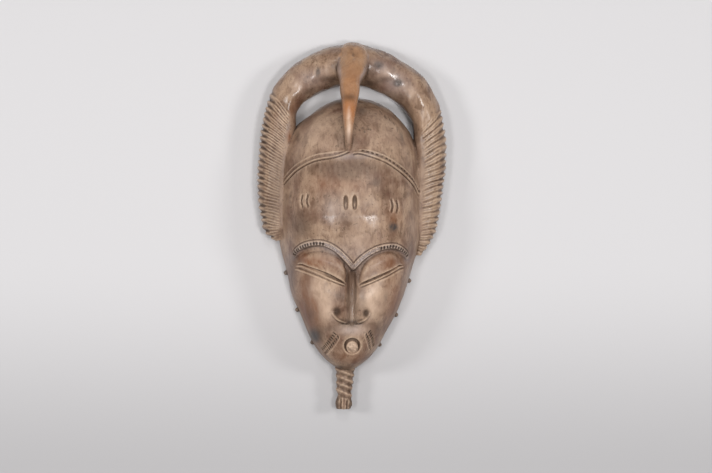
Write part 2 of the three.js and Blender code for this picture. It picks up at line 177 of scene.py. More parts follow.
face = dome(760, 560, 1.54, 0)
face_normals = facing(face)
face_normals[:, :2] = face_normals[:, 2:3]
face_normals[:, -2:] = face_normals[:, -3:-2]
flat_x, flat_y = face[..., 0], face[..., 1]
lift = 0.35 * waves(face, 45, 3) + 0.12 * waves(face, 14, 4)
brow_swell = np.exp(-(((flat_y - 6) / 20) ** 2)) - 0.75 * np.exp(-(((flat_y - 6) / 45) ** 2))
lift += 1.1 * brow_swell * (1 - ramp(35, 62, np.abs(flat_x)))
# Dark paint for the face: dirt in the cuts, and painted shade in creases and under ledges.
stain_and_shade = np.zeros_like(lift)


def darken(where, amount):
    """Old dye and dirt that stay in a cut, and painted shade in creases and under ledges, from 0 to 1."""
    stain_and_shade[where] = np.maximum(stain_and_shade[where], amount)


class Line:
    """A line drawn on the face: its points, its heading and the run along it."""

    def __init__(self, stops, count=140):
        plan = through(stops, count)
        self.points = np.column_stack((plan, face_height(plan[:, 0], plan[:, 1])))
        step = np.gradient(self.points, axis=0)
        self.heading = step / np.linalg.norm(step, axis=1, keepdims=True)
        probe = 1.0
        slope_x = face_height(plan[:, 0] + probe, plan[:, 1]) - face_height(plan[:, 0] - probe, plan[:, 1])
        slope_y = face_height(plan[:, 0], plan[:, 1] + probe) - face_height(plan[:, 0], plan[:, 1] - probe)
        normal = np.column_stack((-slope_x, -slope_y, np.full(count, 2 * probe)))
        self.normal = normal / np.linalg.norm(normal, axis=1, keepdims=True)
        self.side = np.cross(self.normal, self.heading)
        gaps = np.linalg.norm(np.diff(self.points, axis=0), axis=1)
        self.run = np.concatenate(([0], np.cumsum(gaps)))
        self.length = self.run[-1]

    def near(self, reach):
        """For the face's points within reach: their place in the grid, run along and distance beside."""
        lo, hi = self.points.min(axis=0) - reach, self.points.max(axis=0) + reach
        inside = np.all((face > lo) & (face < hi), axis=2)
        spots = face[inside]
        gap = (spots**2).sum(1)[:, None] - 2 * spots @ self.points.T + (self.points**2).sum(1)[None, :]
        nearest = gap.argmin(axis=1)
        arrow = spots - self.points[nearest]
        ahead = (arrow * self.heading[nearest]).sum(1)
        beside = (arrow * self.side[nearest]).sum(1)
        return inside, self.run[nearest] + ahead, beside


def bar(value, half, soft):
    """1 within half of the middle, falling to 0 over a soft edge."""
    return 1 - ramp(half - soft / 2, half + soft / 2, np.abs(value))


# The eyes. Each is a closed lid that swells out of a socket sunk under the brow, and it ends in two
# thin lips with a narrow slit between them. Nothing is cut through.

EYES = [
    {
        "outer": (-60, -42.5), "inner": (-9.5, -60),
        "lid": [
            (0, 10), (0.07, 14.4), (0.265, 20.3), (0.46, 22.6), (0.634, 23.2), (0.78, 21.5), (0.87, 17.3),
            (0.945, 11), (1, 4),
        ],
        "upper": [(0, 2.8), (0.12, 4.6), (0.34, 5), (0.63, 4.7), (0.85, 3), (1, 1.2)],
        "lower": [(0, 0.4), (0.12, 1.4), (0.34, 0.9), (0.63, 0.0), (0.85, -0.6), (1, -0.9)],
        "under": [(0, -1.9), (0.12, -1.4), (0.34, -1.5), (0.63, -2.2), (0.85, -2.3), (1, -2.2)],
        "open": (0.5, 0.98), "outer_lip": 0.75,
    },
    {
        "outer": (52, -42), "inner": (5.5, -60.5),
        "lid": [(0, 9), (0.1, 16), (0.285, 20), (0.515, 20.8), (0.717, 18.3), (0.87, 12), (1, 3)],
        "upper": [(0, 1.6), (0.12, 2.9), (0.34, 2.4), (0.63, 1.9), (0.85, 1.6), (1, 0.9)],
        "lower": [(0, -0.6), (0.12, -0.4), (0.34, -1.3), (0.63, -1.7), (0.85, -1.7), (1, -1.5)],
        "under": [(0, -2.6), (0.12, -2.4), (0.34, -3.1), (0.63, -3.4), (0.85, -3.3), (1, -3)],
        "open": (0.1, 0.95), "outer_lip": 0.3,
    },
]
SOCKET_DEPTH = 5.0
SOCKET_FALL = 17
BROW_LINES = [
    [(-61, -33), (-58.5, -27), (-51, -21.3), (-41, -18.8), (-31, -19.4), (-21, -24), (-11, -32.5), (-2, -43)],
    [(54.5, -34.5), (52.5, -29), (44, -23), (35, -21.8), (22, -25), (10, -32), (-1, -43)],
]
for eye, brow_stops in zip(EYES, BROW_LINES):
    outer, inner = np.array(eye["outer"]), np.array(eye["inner"])
    axis = inner - outer
    reach = np.linalg.norm(axis)
    axis = axis / reach
    up = np.array([-axis[1], axis[0]]) * (1 if axis[0] > 0 else -1)
    s = ((flat_x - outer[0]) * axis[0] + (flat_y - outer[1]) * axis[1]) / reach
    e = (flat_x - outer[0]) * up[0] + (flat_y - outer[1]) * up[1]
    edges = {}
    for label in ("lid", "upper", "lower", "under"):
        stops = through(eye[label], 200)
        edges[label] = np.interp(s, stops[:, 0], stops[:, 1])
    brow_plan = through(brow_stops, 200)
    brow_s = ((brow_plan - outer) @ axis) / reach
    brow_e = (brow_plan - outer) @ up
    order = np.argsort(brow_s)
    ceiling = np.interp(s, brow_s[order], brow_e[order]) - 2.2
    ends = ramp(-0.13, 0.05, s) * (1 - ramp(1.0, 1.14, s))
    floor = np.clip((e + SOCKET_FALL) / (SOCKET_FALL + 9), 0, 1)
    floor = floor * floor * (3 - 2 * floor)
    sunk = SOCKET_DEPTH * floor * ends * (1 - ramp(-0.9, 0.7, e - ceiling))
    middle = (edges["lid"] + edges["upper"]) / 2
    half = np.maximum(1, (edges["lid"] - edges["upper"]) / 2)
    dome_share = np.maximum(0, 1 - np.abs((e - middle) / half) ** 2.4) ** 0.7
    below_middle = np.maximum(dome_share, ramp(-0.5, 1, e - edges["upper"]))
    dome_share = np.where(e < middle, below_middle, dome_share)
    lid_ends = np.maximum(0, 1 - np.abs(np.clip(2 * s - 1.0, -1, 1)) ** 5)
    swell = (SOCKET_DEPTH + 0.5) * dome_share * lid_ends * (e < edges["lid"])
    within = ramp(-0.03, 0.03, s) * (1 - ramp(0.97, 1.03, s))
    first, last = eye["open"]
    opening = ramp(first, first + 0.14, s) * (1 - ramp(last - 0.12, last, s))
    lens = ramp(-0.2, 0.7, edges["upper"] - e - 0.5) * ramp(-0.2, 0.7, e - edges["lower"] - 0.4)
    lift += -sunk + swell
    lift += within * (0.9 * bar(e - edges["upper"], 0.7, 1.0) - 0.9 * bar(e - edges["upper"] + 1.3, 0.5, 1.0))
    lift += within * (0.8 * bar(e - edges["lower"], 0.65, 1.0) - 1.3 * opening * lens)
    lift -= within * 1.0 * bar(e - edges["under"], 0.45, 0.9)
    lift += within * eye["outer_lip"] * bar(e - edges["under"] + 1.4, 0.8, 1.4) * (1 - ramp(0.3, 0.7, s))
    # The creases of the lids and the slit are darkened as dirt and painted shade, and the band just under the
    # brow as a painted shadow.
    darken(..., within * 0.85 * bar(e - edges["upper"] + 1.1, 0.35, 1.1))
    darken(..., within * 0.5 * opening * lens)
    darken(..., within * 0.8 * bar(e - edges["under"], 0.3, 0.9))
    darken(..., ends * 0.75 * bar(e - ceiling + 0.9, 0.9, 2.2))

# The brows. Flat bands raised over the sockets and meeting in a point, with a cut line above them, a
# row of notches on the outer half and a finely pricked inner half.

NOTCH_STEP = 3.4
BROW_MEETING = -1.4
pits = []


def pit(line, run, beside, length, width, depth, turn=0.0, dark=1.0):
    """A small cut, by its place on a line, size and darkness. Turn is its angle to the line."""
    k = np.searchsorted(line.run, np.clip(run, 0, line.length - 0.01))
    spot = line.points[k] + line.side[k] * beside
    heading = line.heading[k] * math.cos(turn) + line.side[k] * math.sin(turn)
    pits.append((spot, line.normal[k], heading, (length, width, depth, dark)))


for stops in BROW_LINES:
    line = Line(stops)
    upper = 1 if stops[0][0] < 0 else -1
    inside, run, beside = line.near(9)
    beside = beside * upper
    half = 3.1 * ramp(-6, 9, run)
    ends = ramp(-0.5, 1.5, run) * (1 - ramp(line.length - 1, line.length + 1, run))
    ends = ends * ramp(0.5, -0.5, upper * (flat_x[inside] - BROW_MEETING))
    band = (1 - ramp(half - 0.5, half + 0.4, np.abs(beside))) * ends
    above = bar(beside - half - 0.8, 0.45, 0.9) * ends
    lift[inside] += 1.0 * band - 0.9 * above
    # The cut line over the band is darkened as dirt and painted shade, and the edge under it as a painted
    # shadow.
    darken(inside, ends * bar(beside - half - 0.7, 0.4, 1.0))
    darken(inside, 0.55 * ends * bar(beside + half + 0.6, 0.3, 1.0))
    for run_at in np.arange(5, line.length * 0.56, NOTCH_STEP):
        pit(line, run_at, upper * 0.2, 3.2, 1.85, 1.4, turn=1.45)
    chance = np.random.default_rng(len(pits))
    for run_at in np.arange(line.length * 0.57, line.length - 2, 1.7):
        for beside_at in (-1.8, 0, 1.8):
            shift = chance.uniform(-0.3, 0.3, 2)
            turn = chance.uniform(0, 3)
            pit(line, run_at + shift[0], beside_at + shift[1], 1.2, 0.8, 0.45, turn=turn, dark=0.38)

# The nose. A long narrow bridge that stands forward to its tip, with a hooked wing each side, a pit
# over each wing and a flat cut underneath.

NOSE_MIDDLE = -2.9
NOSE_TOP = -42
NOSE_FOOT = -98.2
NOSE_RELIEF = 16.5
WINGS = [
    [(-8, -97.4), (-13, -96.4), (-17.8, -93.8), (-21, -90), (-22, -87.5)],
    [(2.4, -97.4), (7, -96.8), (11.4, -94.6), (14.4, -91.4), (15.4, -89)],
]
NOSTRILS = [(-17.6, -87.6, 4.2, 4.8), (12.0, -89.4, 3.8, 4.3)]
down = np.clip((NOSE_TOP - flat_y) / (NOSE_TOP - NOSE_FOOT), 0, 1)
nose_end = ramp(NOSE_FOOT - 0.6, NOSE_FOOT + 0.8, flat_y)
aside = np.abs(flat_x - NOSE_MIDDLE)
bridge = 1 - ramp(1.5, 3.6, aside)
flank_reach = 5.5 + 5.5 * down**1.5
flank = (1 - ramp(1.2, flank_reach, aside)) ** 1.2
rise = NOSE_RELIEF * (0.1 + 0.9 * down) * ramp(NOSE_TOP + 1.5, NOSE_TOP - 8, flat_y)
tip_round = 1 - 0.1 * ramp(0.9, 1.0, down)
lift += rise * tip_round * nose_end * (0.38 * bridge + 0.62 * flank)
for wing, (hole_x, hole_y, hole_across, hole_along) in zip(WINGS, NOSTRILS):
    line = Line(wing, 80)
    inside, run, beside = line.near(9)
    share = run / line.length
    edge = bar(beside, 1.2, 1.8) * ramp(-0.03, 0.08, share) * (1 - ramp(0.85, 1.03, share))
    lift[inside] += (3.7 - 2.6 * share) * edge
    root = np.array([NOSE_MIDDLE, NOSE_FOOT + 6])
    lobe = np.clip(1 - np.hypot((flat_x - (root[0] + hole_x) / 2) / 9.5, (flat_y - root[1]) / 6.2) ** 2, 0, 1)
    lift += 2.6 * lobe**0.8 * nose_end * (1 - bridge) * ramp(0.6, 2.4, np.abs(flat_y - NOSE_FOOT))
    hole = np.exp(-(((flat_x - hole_x) / hole_across) ** 2) - ((flat_y - hole_y) / hole_along) ** 2)
    lift -= 3.9 * hole
    # The nostril pit is darkened as painted shade.
    darken(..., 0.85 * ramp(0.2, 0.85, hole))
# A painted shadow lies under the foot of the nose, and dirt and painted shade beside the bridge where it
# steps down to the flanks; the tip is also darker near its foot.
shade = bar(flat_y - NOSE_FOOT + 1.2, 0.7, 1.3) * bar(aside, 10.5, 4)
lift -= 0.8 * shade
darken(..., shade)
tip = ramp(NOSE_FOOT - 0.5, NOSE_FOOT, flat_y) * (flat_y < NOSE_FOOT + 5)
darken(..., 0.45 * bar(aside - 2.4, 1.4, 2.5) * tip)
darken(..., 0.8 * bar(aside - 3.9, 0.7, 2.4) * ramp(0.02, 0.1, down) * (1 - ramp(0.4, 0.95, down)))
darken(..., 0.5 * bar(aside - 3.9, 0.4, 1.8) * ramp(0.3, 0.5, down) * nose_end)

# The muzzle and mouth. The lower face swells forward a little, and the mouth is a round plug with a
# worn edge, left standing inside a ring groove.

MOUTH = (-1.7, -121.9)
PLUG = (-1.6, -123.9)
PLUG_RADIUS = 6.1
GROOVE_RADIUS = 8.1
MOUTH_DEPTH = 4.0
lift += 2.0 * np.exp(-(((flat_x + 1) / 15) ** 2) - ((flat_y + 119) / 18) ** 2)
from_mouth = np.hypot(flat_x - MOUTH[0], (flat_y - MOUTH[1]) * 1.04)
from_plug = np.hypot(flat_x - PLUG[0], flat_y - PLUG[1])
groove_ring = 1 - ramp(GROOVE_RADIUS - 0.7, GROOVE_RADIUS + 0.6, from_mouth)
plug = 1 - ramp(PLUG_RADIUS - 0.5, PLUG_RADIUS + 0.4, from_plug)
bevel = ramp(0, 3, flat_y - PLUG[1]) * ramp(3.4, 5.6, from_plug)
lift += -MOUTH_DEPTH * groove_ring * (1 - plug) - (0.5 + 0.9 * bevel) * plug
lift += 0.45 * waves(face, 3.4, 12) * (1 - ramp(4, 6, from_plug))
lift += 0.05 * bar(from_mouth - GROOVE_RADIUS - 1.3, 0.7, 1.2)
# The ring groove is darkened as painted shade.
darken(..., 0.62 * groove_ring * (1 - plug))
darken(..., 0.55 * ramp(0.2, 1.1, waves(face, 3.0, 13)) * (1 - ramp(4.5, 5.6, from_plug)))

# The cheek patches. A raised leaf each side of the mouth, cut with two rows of slanting notches.

PATCHES = [
    {"stops": [(-16.8, -110), (-22.8, -119), (-30, -129.5)], "turn": -1, "across": (1.45, 0.95)},
    {"stops": [(13.4, -107.5), (16.8, -115.5), (19, -125)], "turn": 1, "across": (1.1, 0.85)},
]
for patch in PATCHES:
    line = Line(patch["stops"])
    inside, run, beside = line.near(9)
    outward = beside * patch["turn"]
    half = 4.6 * np.sqrt(np.maximum(0.02, 1 - (2 * np.clip(run / line.length, 0, 1) - 1) ** 6))
    ends = ramp(-1.5, 0.5, run) * (1 - ramp(line.length - 0.5, line.length + 1.5, run))
    lift[inside] -= 0.3 * (1 - ramp(half - 0.9, half + 0.6, np.abs(beside))) * ends
    lift[inside] += 0.25 * bar(outward + half + 0.3, 0.6, 0.9) * ends
    lift[inside] += 0.2 * bar(beside, 0.5, 0.8) * ends
    steep, shallow = patch["across"]
    for run_at in np.arange(1.5, line.length - 0.5, 3.15):
        angle = patch["turn"] * (math.pi - steep)
        pit(line, run_at, patch["turn"] * 2.4, 3.9, 1.15, 1.5, turn=angle)
        pit(line, run_at + 1.0, -patch["turn"] * 2.2, 2.8, 1.15, 1.4, turn=-patch["turn"] * shallow)

# The scars. Three pairs of upright leaf-shaped cuts on the forehead, each with a raised middle.

TEMPLE_SCARS = [(-53.5, 24, -1), (-48.2, 24.4, -1), (38.2, 19.4, 1), (43.4, 18.6, 1)]
FOREHEAD_SCARS = [(-9.3, 22.5), (-0.4, 22.5)]
SCAR_HALF = 7.9
for x, y, bow in TEMPLE_SCARS:
    line = Line([(x - 0.9 * bow, y + SCAR_HALF), (x + bow, y), (x - 0.9 * bow, y - SCAR_HALF)], 60)
    inside, run, beside = line.near(6)
    inward = -beside * bow * (1 if line.side[30, 0] > 0 else -1)
    share = np.clip(2 * run / line.length - 1, -1, 1)
    leaf = np.maximum(0, 1 - share**4)
    slope = np.clip(1 - inward / 3.4, 0, 1) * ramp(-0.5, 0.3, inward)
    lift[inside] -= 2.2 * leaf * slope * (np.abs(share) < 1)
    lift[inside] += 0.4 * leaf * bar(inward - 3.4, 0.7, 1.2)
    # The inner edge of each cut is darkened as dirt and painted shade.
    darken(inside, 0.85 * leaf * bar(inward - 0.7, 0.7, 1.2) * (np.abs(share) < 1))
for x, y in FOREHEAD_SCARS:
    across = np.abs(flat_x - x) / 2.7
    along = (flat_y - y) / SCAR_HALF
    bowl = np.clip(1 - across**2 - np.abs(along) ** 2.6, 0, 1)
    heart = np.exp(-((across * 2.7 / 0.8) ** 2) - ((along + 0.35) / 0.4) ** 2)
    lift -= 2.3 * bowl**0.6 - 1.1 * heart * (bowl > 0)
    # The bowl is darkened, save its raised middle, as dirt and painted shade.
    darken(..., 0.75 * ramp(0.05, 0.6, bowl) * (1 - heart))

# The hairline and cap. Two fine ridges with a row of small pits between them sweep up to the tip of
# the beak, and a step follows the edge of the smooth cap.

HAIRLINES = [
    [(-6.5, 75), (-13, 72.8), (-24, 70.7), (-42, 67.3), (-58, 58.8), (-67.5, 49.5), (-72.5, 43)],
    [(-1.5, 73), (5, 74), (16, 72.3), (34, 65.5), (51, 54), (63, 42), (69, 33)],
]
for stops in HAIRLINES:
    line = Line(stops)
    inside, run, beside = line.near(7)
    ends = ramp(-2, 1, run) * (1 - ramp(line.length, line.length + 4, run))
    right = stops[0][0] > -5
    over = beside * (1 if right else -1)
    half = 3.0 * (0.45 + 0.55 * ramp(0, 18, run))
    ridges = 1.1 * bar(over + half - 0.6, 0.7, 1.1) + 0.55 * bar(over - half + 0.6, 0.7, 1.1)
    below = 1.3 * bar(over + half + 1.0, 0.55, 1.1)
    lift[inside] += ends * (ridges - below)
    # The line under the ridges and the middle between them are darkened as dirt and painted shade.
    darken(inside, 0.5 * ends * bar(over + half + 1.0, 0.4, 1.2))
    darken(inside, 0.3 * ends * bar(over, 1.0, 1.4))
    for run_at in np.arange(9, line.length - 4, 5.1):
        if right:
            pit(line, run_at, 0.5, 3.3, 1.7, 1.3, dark=0.6)
        else:
            pit(line, run_at, -0.5, 2.4, 1.5, 0.4, dark=0.35)
edge_share = (flat_x - centre_line(flat_y)) / np.maximum(1, half_width(flat_y))
step_side = ramp(55, 66, flat_y) * (1 - ramp(112, 124, flat_y))
lift -= 0.7 * ramp(0.9, 0.915, edge_share) * step_side
lift -= 0.5 * ramp(0.93, 0.945, -edge_share) * step_side
STROKES = [
    (-13, 98, 0.4, 1.6), (4.5, 96.5, 0.7, -1.7), (7.6, 97.6, 1.4, 0.4), (10.2, 95.4, 0.3, -2.2),
    (13.4, 97.2, 1.6, -0.7), (16.4, 95.8, 0.5, 1.5), (38, 98, 2, 0.6), (22, 121, 3, -2.5), (27, 117, 2, -4),
    (31, 112, 2.5, -4), (36, 110, 1, -4), (40, 105, 1.5, -3.5), (44, 100, 0.8, -5),
]
for x, y, run_x, run_y in STROKES:
    line = Line([(x, y), (x + run_x, y + run_y)], 20)
    pit(line, line.length / 2, 0, line.length, 0.9, 0.35, dark=0.6)


skin = face + face_normals * lift[..., None]
skin[..., 2] = np.maximum(skin[..., 2], 0)


def closed(grid):
    """The points and triangles of a closed skin made of rings, with each end drawn to its middle."""
    rows, around = grid.shape[:2]
    points = np.vstack((grid.reshape(-1, 3), grid[0].mean(0), grid[-1].mean(0)))
    row = np.arange(rows - 1)[:, None] * around
    spot = np.arange(around)[None, :]
    after = (spot + 1) % around
    a, b, c, d = row + spot, row + after, row + around + after, row + around + spot
    spot, after = spot[0], after[0]
    last = (rows - 1) * around
    first_cap = np.column_stack((np.full(around, len(points) - 2), after, spot))
    last_cap = np.column_stack((np.full(around, len(points) - 1), last + spot, last + after))
    sides = [np.stack((a, b, c), axis=2).reshape(-1, 3), np.stack((a, c, d), axis=2).reshape(-1, 3)]
    faces = np.vstack(sides + [first_cap, last_cap])
    corners = points[faces]
    if np.einsum("ij,ij->i", corners[:, 0], np.cross(corners[:, 1], corners[:, 2])).sum() < 0:
        faces = faces[:, ::-1]
    return points, faces


def mesh_from(name, skins):
    """One mesh that holds several closed skins."""
    start = np.cumsum([0] + [len(points) for points, _ in skins])
    points = np.vstack([points for points, _ in skins])
    faces = np.vstack([faces + first for (_, faces), first in zip(skins, start)])
    mesh = bpy.data.meshes.new(name)
    mesh.vertices.add(len(points))
    mesh.vertices.foreach_set("co", points.astype(np.float32).ravel())
    mesh.loops.add(faces.size)
    mesh.loops.foreach_set("vertex_index", faces.astype(np.int32).ravel())
    mesh.polygons.add(len(faces))
    mesh.polygons.foreach_set("loop_start", np.arange(0, faces.size, 3, dtype=np.int32))
    mesh.update(calc_edges=True)
    return mesh


# The horns. Two ram's horns rise beside the cheeks and meet over the cap. Each is a smooth round
# tube at the top and is cut below its shoulder into slanting ridges, down to a blunt tip.

HORN_THICKNESS = 34
HORN_AXIS_HEIGHT = 15.5
HORNS = [
    {
        "side": -1,
        "stops": [
            (7, 165.8, 1.24), (-7, 165.8, 1.24), (-26.5, 161.5, 1.18), (-49.5, 150.5, 1.1),
            (-67.5, 131, 0.99), (-78, 99, 0.91), (-81.8, 67, 0.87), (-83.8, 37, 0.8), (-82.5, 9, 0.7),
            (-81, -4, 0.6), (-75.5, -15.5, 0.18),
        ],
        "ridges_from": 0.4, "pitch": 5.9, "notch": 2.6, "ridge": 0.95, "rounded": 0.35, "dirt_and_shade": 1.15,
    },
    {
        "side": 1,
        "stops": [
            (-7, 165.8, 1.24), (7, 165.8, 1.24), (37, 156.3, 1.17), (61, 140, 1.12), (75, 118.5, 0.95),
            (81.8, 92, 0.87), (83.3, 72.5, 0.84), (81, 33, 0.75), (79, 11, 0.66), (76.5, -8, 0.54),
            (68.5, -31, 0.16),
        ],
        "ridges_from": 0.44, "pitch": 6.3, "notch": 1.9, "ridge": 0.6, "rounded": 1.15, "dirt_and_shade": 0.8,
    },
]


def wire(stops, count):
    """Points spaced evenly along a rounded wire bent through unevenly spaced stops, and its length."""
    stops = np.array(stops, float)
    padded = np.vstack((2 * stops[0] - stops[1], stops, 2 * stops[-1] - stops[-2]))
    share = np.linspace(0, 1, 60, endpoint=False)[:, None]
    pieces = []
    for a, b, c, d in zip(padded, padded[1:], padded[2:], padded[3:]):
        first, middle_gap, last = (math.sqrt(np.linalg.norm(q - p)) for p, q in ((a, b), (b, c), (c, d)))
        leave = middle_gap * ((b - a) / first - (c - a) / (first + middle_gap) + (c - b) / middle_gap)
        arrive = middle_gap * ((c - b) / middle_gap - (d - b) / (middle_gap + last) + (d - c) / last)
        square = 3 * (c - b) - 2 * leave - arrive
        cube = 2 * (b - c) + leave + arrive
        pieces.append(b + leave * share + square * share**2 + cube * share**3)
    fine = np.vstack(pieces + [stops[-1:]])
    gaps = np.linalg.norm(np.diff(fine[:, :3], axis=0), axis=1)
    run = np.concatenate(([0], np.cumsum(gaps)))
    even = np.linspace(0, run[-1], count)
    return np.column_stack([np.interp(even, run, column) for column in fine.T]), run[-1]


def horn(spec, seed):
    rings, around = 640, 150
    route, length = wire(spec["stops"], rings)
    share = np.linspace(0, 1, rings)[:, None]
    heading = np.gradient(route[:, :2], axis=0)
    heading /= np.linalg.norm(heading, axis=1, keepdims=True)
    outward = np.column_stack((-heading[:, 1], heading[:, 0]))
    outward = outward if outward[rings // 2, 0] * spec["side"] > 0 else -outward
    angle = np.linspace(0, 2 * math.pi, around, endpoint=False)[None, :]
    aside = np.cos(angle)
    start = spec["ridges_from"]
    chance = np.random.default_rng(seed)
    wander = 0.2 * np.sin(9 * share + chance.uniform(0, 6)) + 0.12 * np.sin(31 * share + chance.uniform(0, 6))
    beat = (share - start) * length / spec["pitch"] + wander + 0.07 * np.sin(3 * angle + 40 * share)
    each = chance.uniform(0.6, 1.15, 80)[np.clip(beat.astype(int), 0, 79)]
    each_fine = chance.uniform(0.6, 1.2, 160)[np.clip((2 * beat).astype(int), 0, 159)]
    notch = 1 - np.abs(np.sin(math.pi * beat)) ** 1.5
    rounded = 1 - np.abs(np.sin(math.pi * beat)) ** 0.5
    ridge = 1 - np.abs(np.sin(2 * math.pi * beat)) ** 0.8
    outer = ramp(0.38, 0.8, aside)
    middle = ramp(-0.62, -0.35, aside)
    ridged = ramp(start - 0.004, start + 0.012, share) * ramp(1.0, 0.97, share)
    cut = spec["notch"] * each * notch * outer + spec["rounded"] * rounded * middle * (1 - 0.5 * outer)
    cut = cut + spec["ridge"] * each_fine * ridge * middle * (1 - 0.95 * outer)
    radius = HORN_THICKNESS / 2 * route[:, 2:3] + ridged * (0.8 * middle - cut)
    most, least = 0.62, 0.25
    slant = np.where(
        share < start,
        most * ramp(start / 2, start, share),
        most + (least - most) * (share - start) / (1 - start),
    )
    joined = ramp(start - 0.06, start + 0.04, share) * (aside < 0)
    out = radius * aside * (1 + 0.22 * joined)
    grid = np.zeros((rings, around, 3))
    grid[..., :2] = route[:, None, :2] + outward[:, None, :] * out[..., None]
    grid[..., :2] -= heading[:, None, :] * (slant * out)[..., None]
    rise = np.sin(angle) + 0 * share
    squarer = np.maximum(0, 1 - aside**4) ** 0.25
    grid[..., 2] = HORN_AXIS_HEIGHT + 1.08 * radius * (rise + joined * (rise > 0) * (squarer - rise))
    away = grid - np.column_stack((route[:, :2], np.full(rings, HORN_AXIS_HEIGHT)))[:, None, :]
    away /= np.linalg.norm(away, axis=2, keepdims=True)
    uneven = (0.6 * waves(grid, 30, seed) + 0.25 * waves(grid, 11, seed + 1)) * (1 - 0.6 * ridged)
    # The notches and the valleys between the ridges are darkened as dirt and painted shade.
    wedge = ramp(0.3, 0.7, aside)
    dirt_and_shade = 0.5 * each_fine * ridge**2 * middle * (1 - outer)
    dirt_and_shade = np.maximum(spec["dirt_and_shade"] * each * notch**1.5 * wedge, dirt_and_shade)
    dirt_and_shade = np.maximum(dirt_and_shade, spec["rounded"] * 0.6 * rounded**1.5 * middle) * ridged
    return grid + away * uneven[..., None], dirt_and_shade


def upper_half(grid):
    """The half of each ring that faces the viewer."""
    return grid[:, : grid.shape[1] // 2 + 1]


painted = [(skin, stain_and_shade, 0.6)]
skins = [closed(skin)]
for i, spec in enumerate(HORNS):
    horn_grid, horn_dirt_and_shade = horn(spec, 20 + i)
    skins.append(closed(horn_grid))
    painted.append((upper_half(horn_grid), upper_half(horn_dirt_and_shade), 1.0))

# The beak. A rounded bird's head over the middle of the crest narrows to a long beak that stands
# clear of the cap and comes down on the hairline. Hands have worn it smooth and orange.

BEAK_WIDTH = 31
BEAK_DROP = 0.4
BEAK_STOPS = [
    (0.8, 181.2, 14, 0.42, 0.33), (0.7, 172, 26, 0.51, 0.44), (-0.3, 160, 38, 0.5, 0.4),
    (-3.4, 146, 50, 0.36, 0.34), (-4.8, 130, 62, 0.29, 0.28), (-5.6, 114, 70, 0.22, 0.24),
    (-6.3, 98, 73, 0.155, 0.2), (-6.5, 84, 72, 0.12, 0.16), (-6.5, 75, 70, 0.09, 0.12),
]


def loft(route, half_sizes, around, keel=0.0):
    """A bar with an oval section along a route that stays over one line."""
    heading = np.gradient(route, axis=0)
    heading /= np.linalg.norm(heading, axis=1, keepdims=True)
    side = np.array([1.0, 0, 0])
    front = np.cross(heading, side)
    front /= np.linalg.norm(front, axis=1, keepdims=True)
    front *= np.where(front[:, 2:3] < 0, -1, 1)
    angle = np.linspace(0, 2 * math.pi, around, endpoint=False)[None, :, None]
    pinch = 1 - keel * np.maximum(0, np.sin(angle)) ** 2 * np.abs(np.cos(angle))
    across = np.sign(np.cos(angle)) * np.abs(np.cos(angle)) ** 0.8
    above = np.sign(np.sin(angle)) * np.abs(np.sin(angle)) ** 0.8
    return (
        route[:, None, :]
        + side * half_sizes[:, None, 0:1] * across * pinch
        + front[:, None, :] * half_sizes[:, None, 1:2] * above
    )


beak_route, _ = wire([(x, y, z, BEAK_WIDTH * w, BEAK_WIDTH * d) for x, y, z, w, d in BEAK_STOPS], 420)
beak = loft(beak_route[:, :3], beak_route[:, 3:], 120, keel=0.12)
beak[..., 2] -= BEAK_DROP
beak += (0.3 * waves(beak, 26, 40))[..., None] * (beak - beak_route[:, None, :3]) / BEAK_WIDTH * 4
skins.append(closed(beak))

# The beard. A plaited tongue under the chin, cut with slanting ribs, that ends in a split tuft.

BEARD_LENGTH = 39
BEARD_WIDTH = 20
BEARD_RIBS = 5
BEARD_OVERLAP = 8
RIBBED_SHARE = 0.74


def beard():
    s = np.linspace(0, 1, 300)[:, None]
    angle = np.linspace(0, 2 * math.pi, 120, endpoint=False)[None, :]
    waist = np.interp(s, [0, RIBBED_SHARE], [1.0, 0.7])
    tuft = 0.12 * np.sin(math.pi * np.clip((s - RIBBED_SHARE) / (1 - RIBBED_SHARE), 0, 1)) ** 0.6
    ribbed = 1 - ramp(RIBBED_SHARE, RIBBED_SHARE + 0.02, s)
    beat = s / RIBBED_SHARE * BEARD_RIBS + 0.25 + 0.1 * np.sin(5 * s)
    rib = 1 - np.abs(np.sin(math.pi * beat)) ** 0.7
    fine = 1 - np.abs(np.sin(math.pi * (beat * 2 + 0.5))) ** 0.9
    half = BEARD_WIDTH / 2 * (waist + tuft) + ribbed * (0.5 - 1.6 * rib - 0.45 * fine)
    splits = np.exp(-(((angle - 1.15) / 0.13) ** 2)) + np.exp(-(((angle - 2.05) / 0.13) ** 2))
    splits = splits + 0.5 * np.exp(-(((angle - math.pi / 2) / 0.12) ** 2))
    half = half - 1.3 * (1 - ribbed) * splits * ramp(RIBBED_SHARE, RIBBED_SHARE + 0.08, s)
    half = half + ribbed * 0.35 * np.sin(17 * s + 2.1 * np.cos(angle))
    out = half * np.cos(angle)
    grid = np.zeros(out.shape + (3,))
    grid[..., 0] = centre_line(CHIN) - 1 + out - 1.5 * s
    grid[..., 1] = CHIN + BEARD_OVERLAP - (BEARD_LENGTH + BEARD_OVERLAP - 1) * s - 0.36 * ribbed * out
    grid[..., 2] = 13 + 1.05 * half * np.sin(angle)
    rough = 0.45 * waves(grid, 6, 51)
    grid[..., 0] += rough * np.cos(angle)
    grid[..., 2] += rough * np.sin(angle)
    # The grooves between the ribs and the splits of the tuft are darkened as dirt and painted shade, and the
    # sides of the tuft are painted darker.
    lobes = ramp(0.5, 0.8, np.abs(np.cos(angle)))
    plait_dirt_and_shade = 0.8 * (rib + 0.35 * fine) * (0.8 + 0.5 * waves(grid, 5, 52))
    tuft_darkening = np.maximum(np.minimum(1, splits), 0.8 * lobes)
    return grid, ribbed * plait_dirt_and_shade + (1 - ribbed) * tuft_darkening


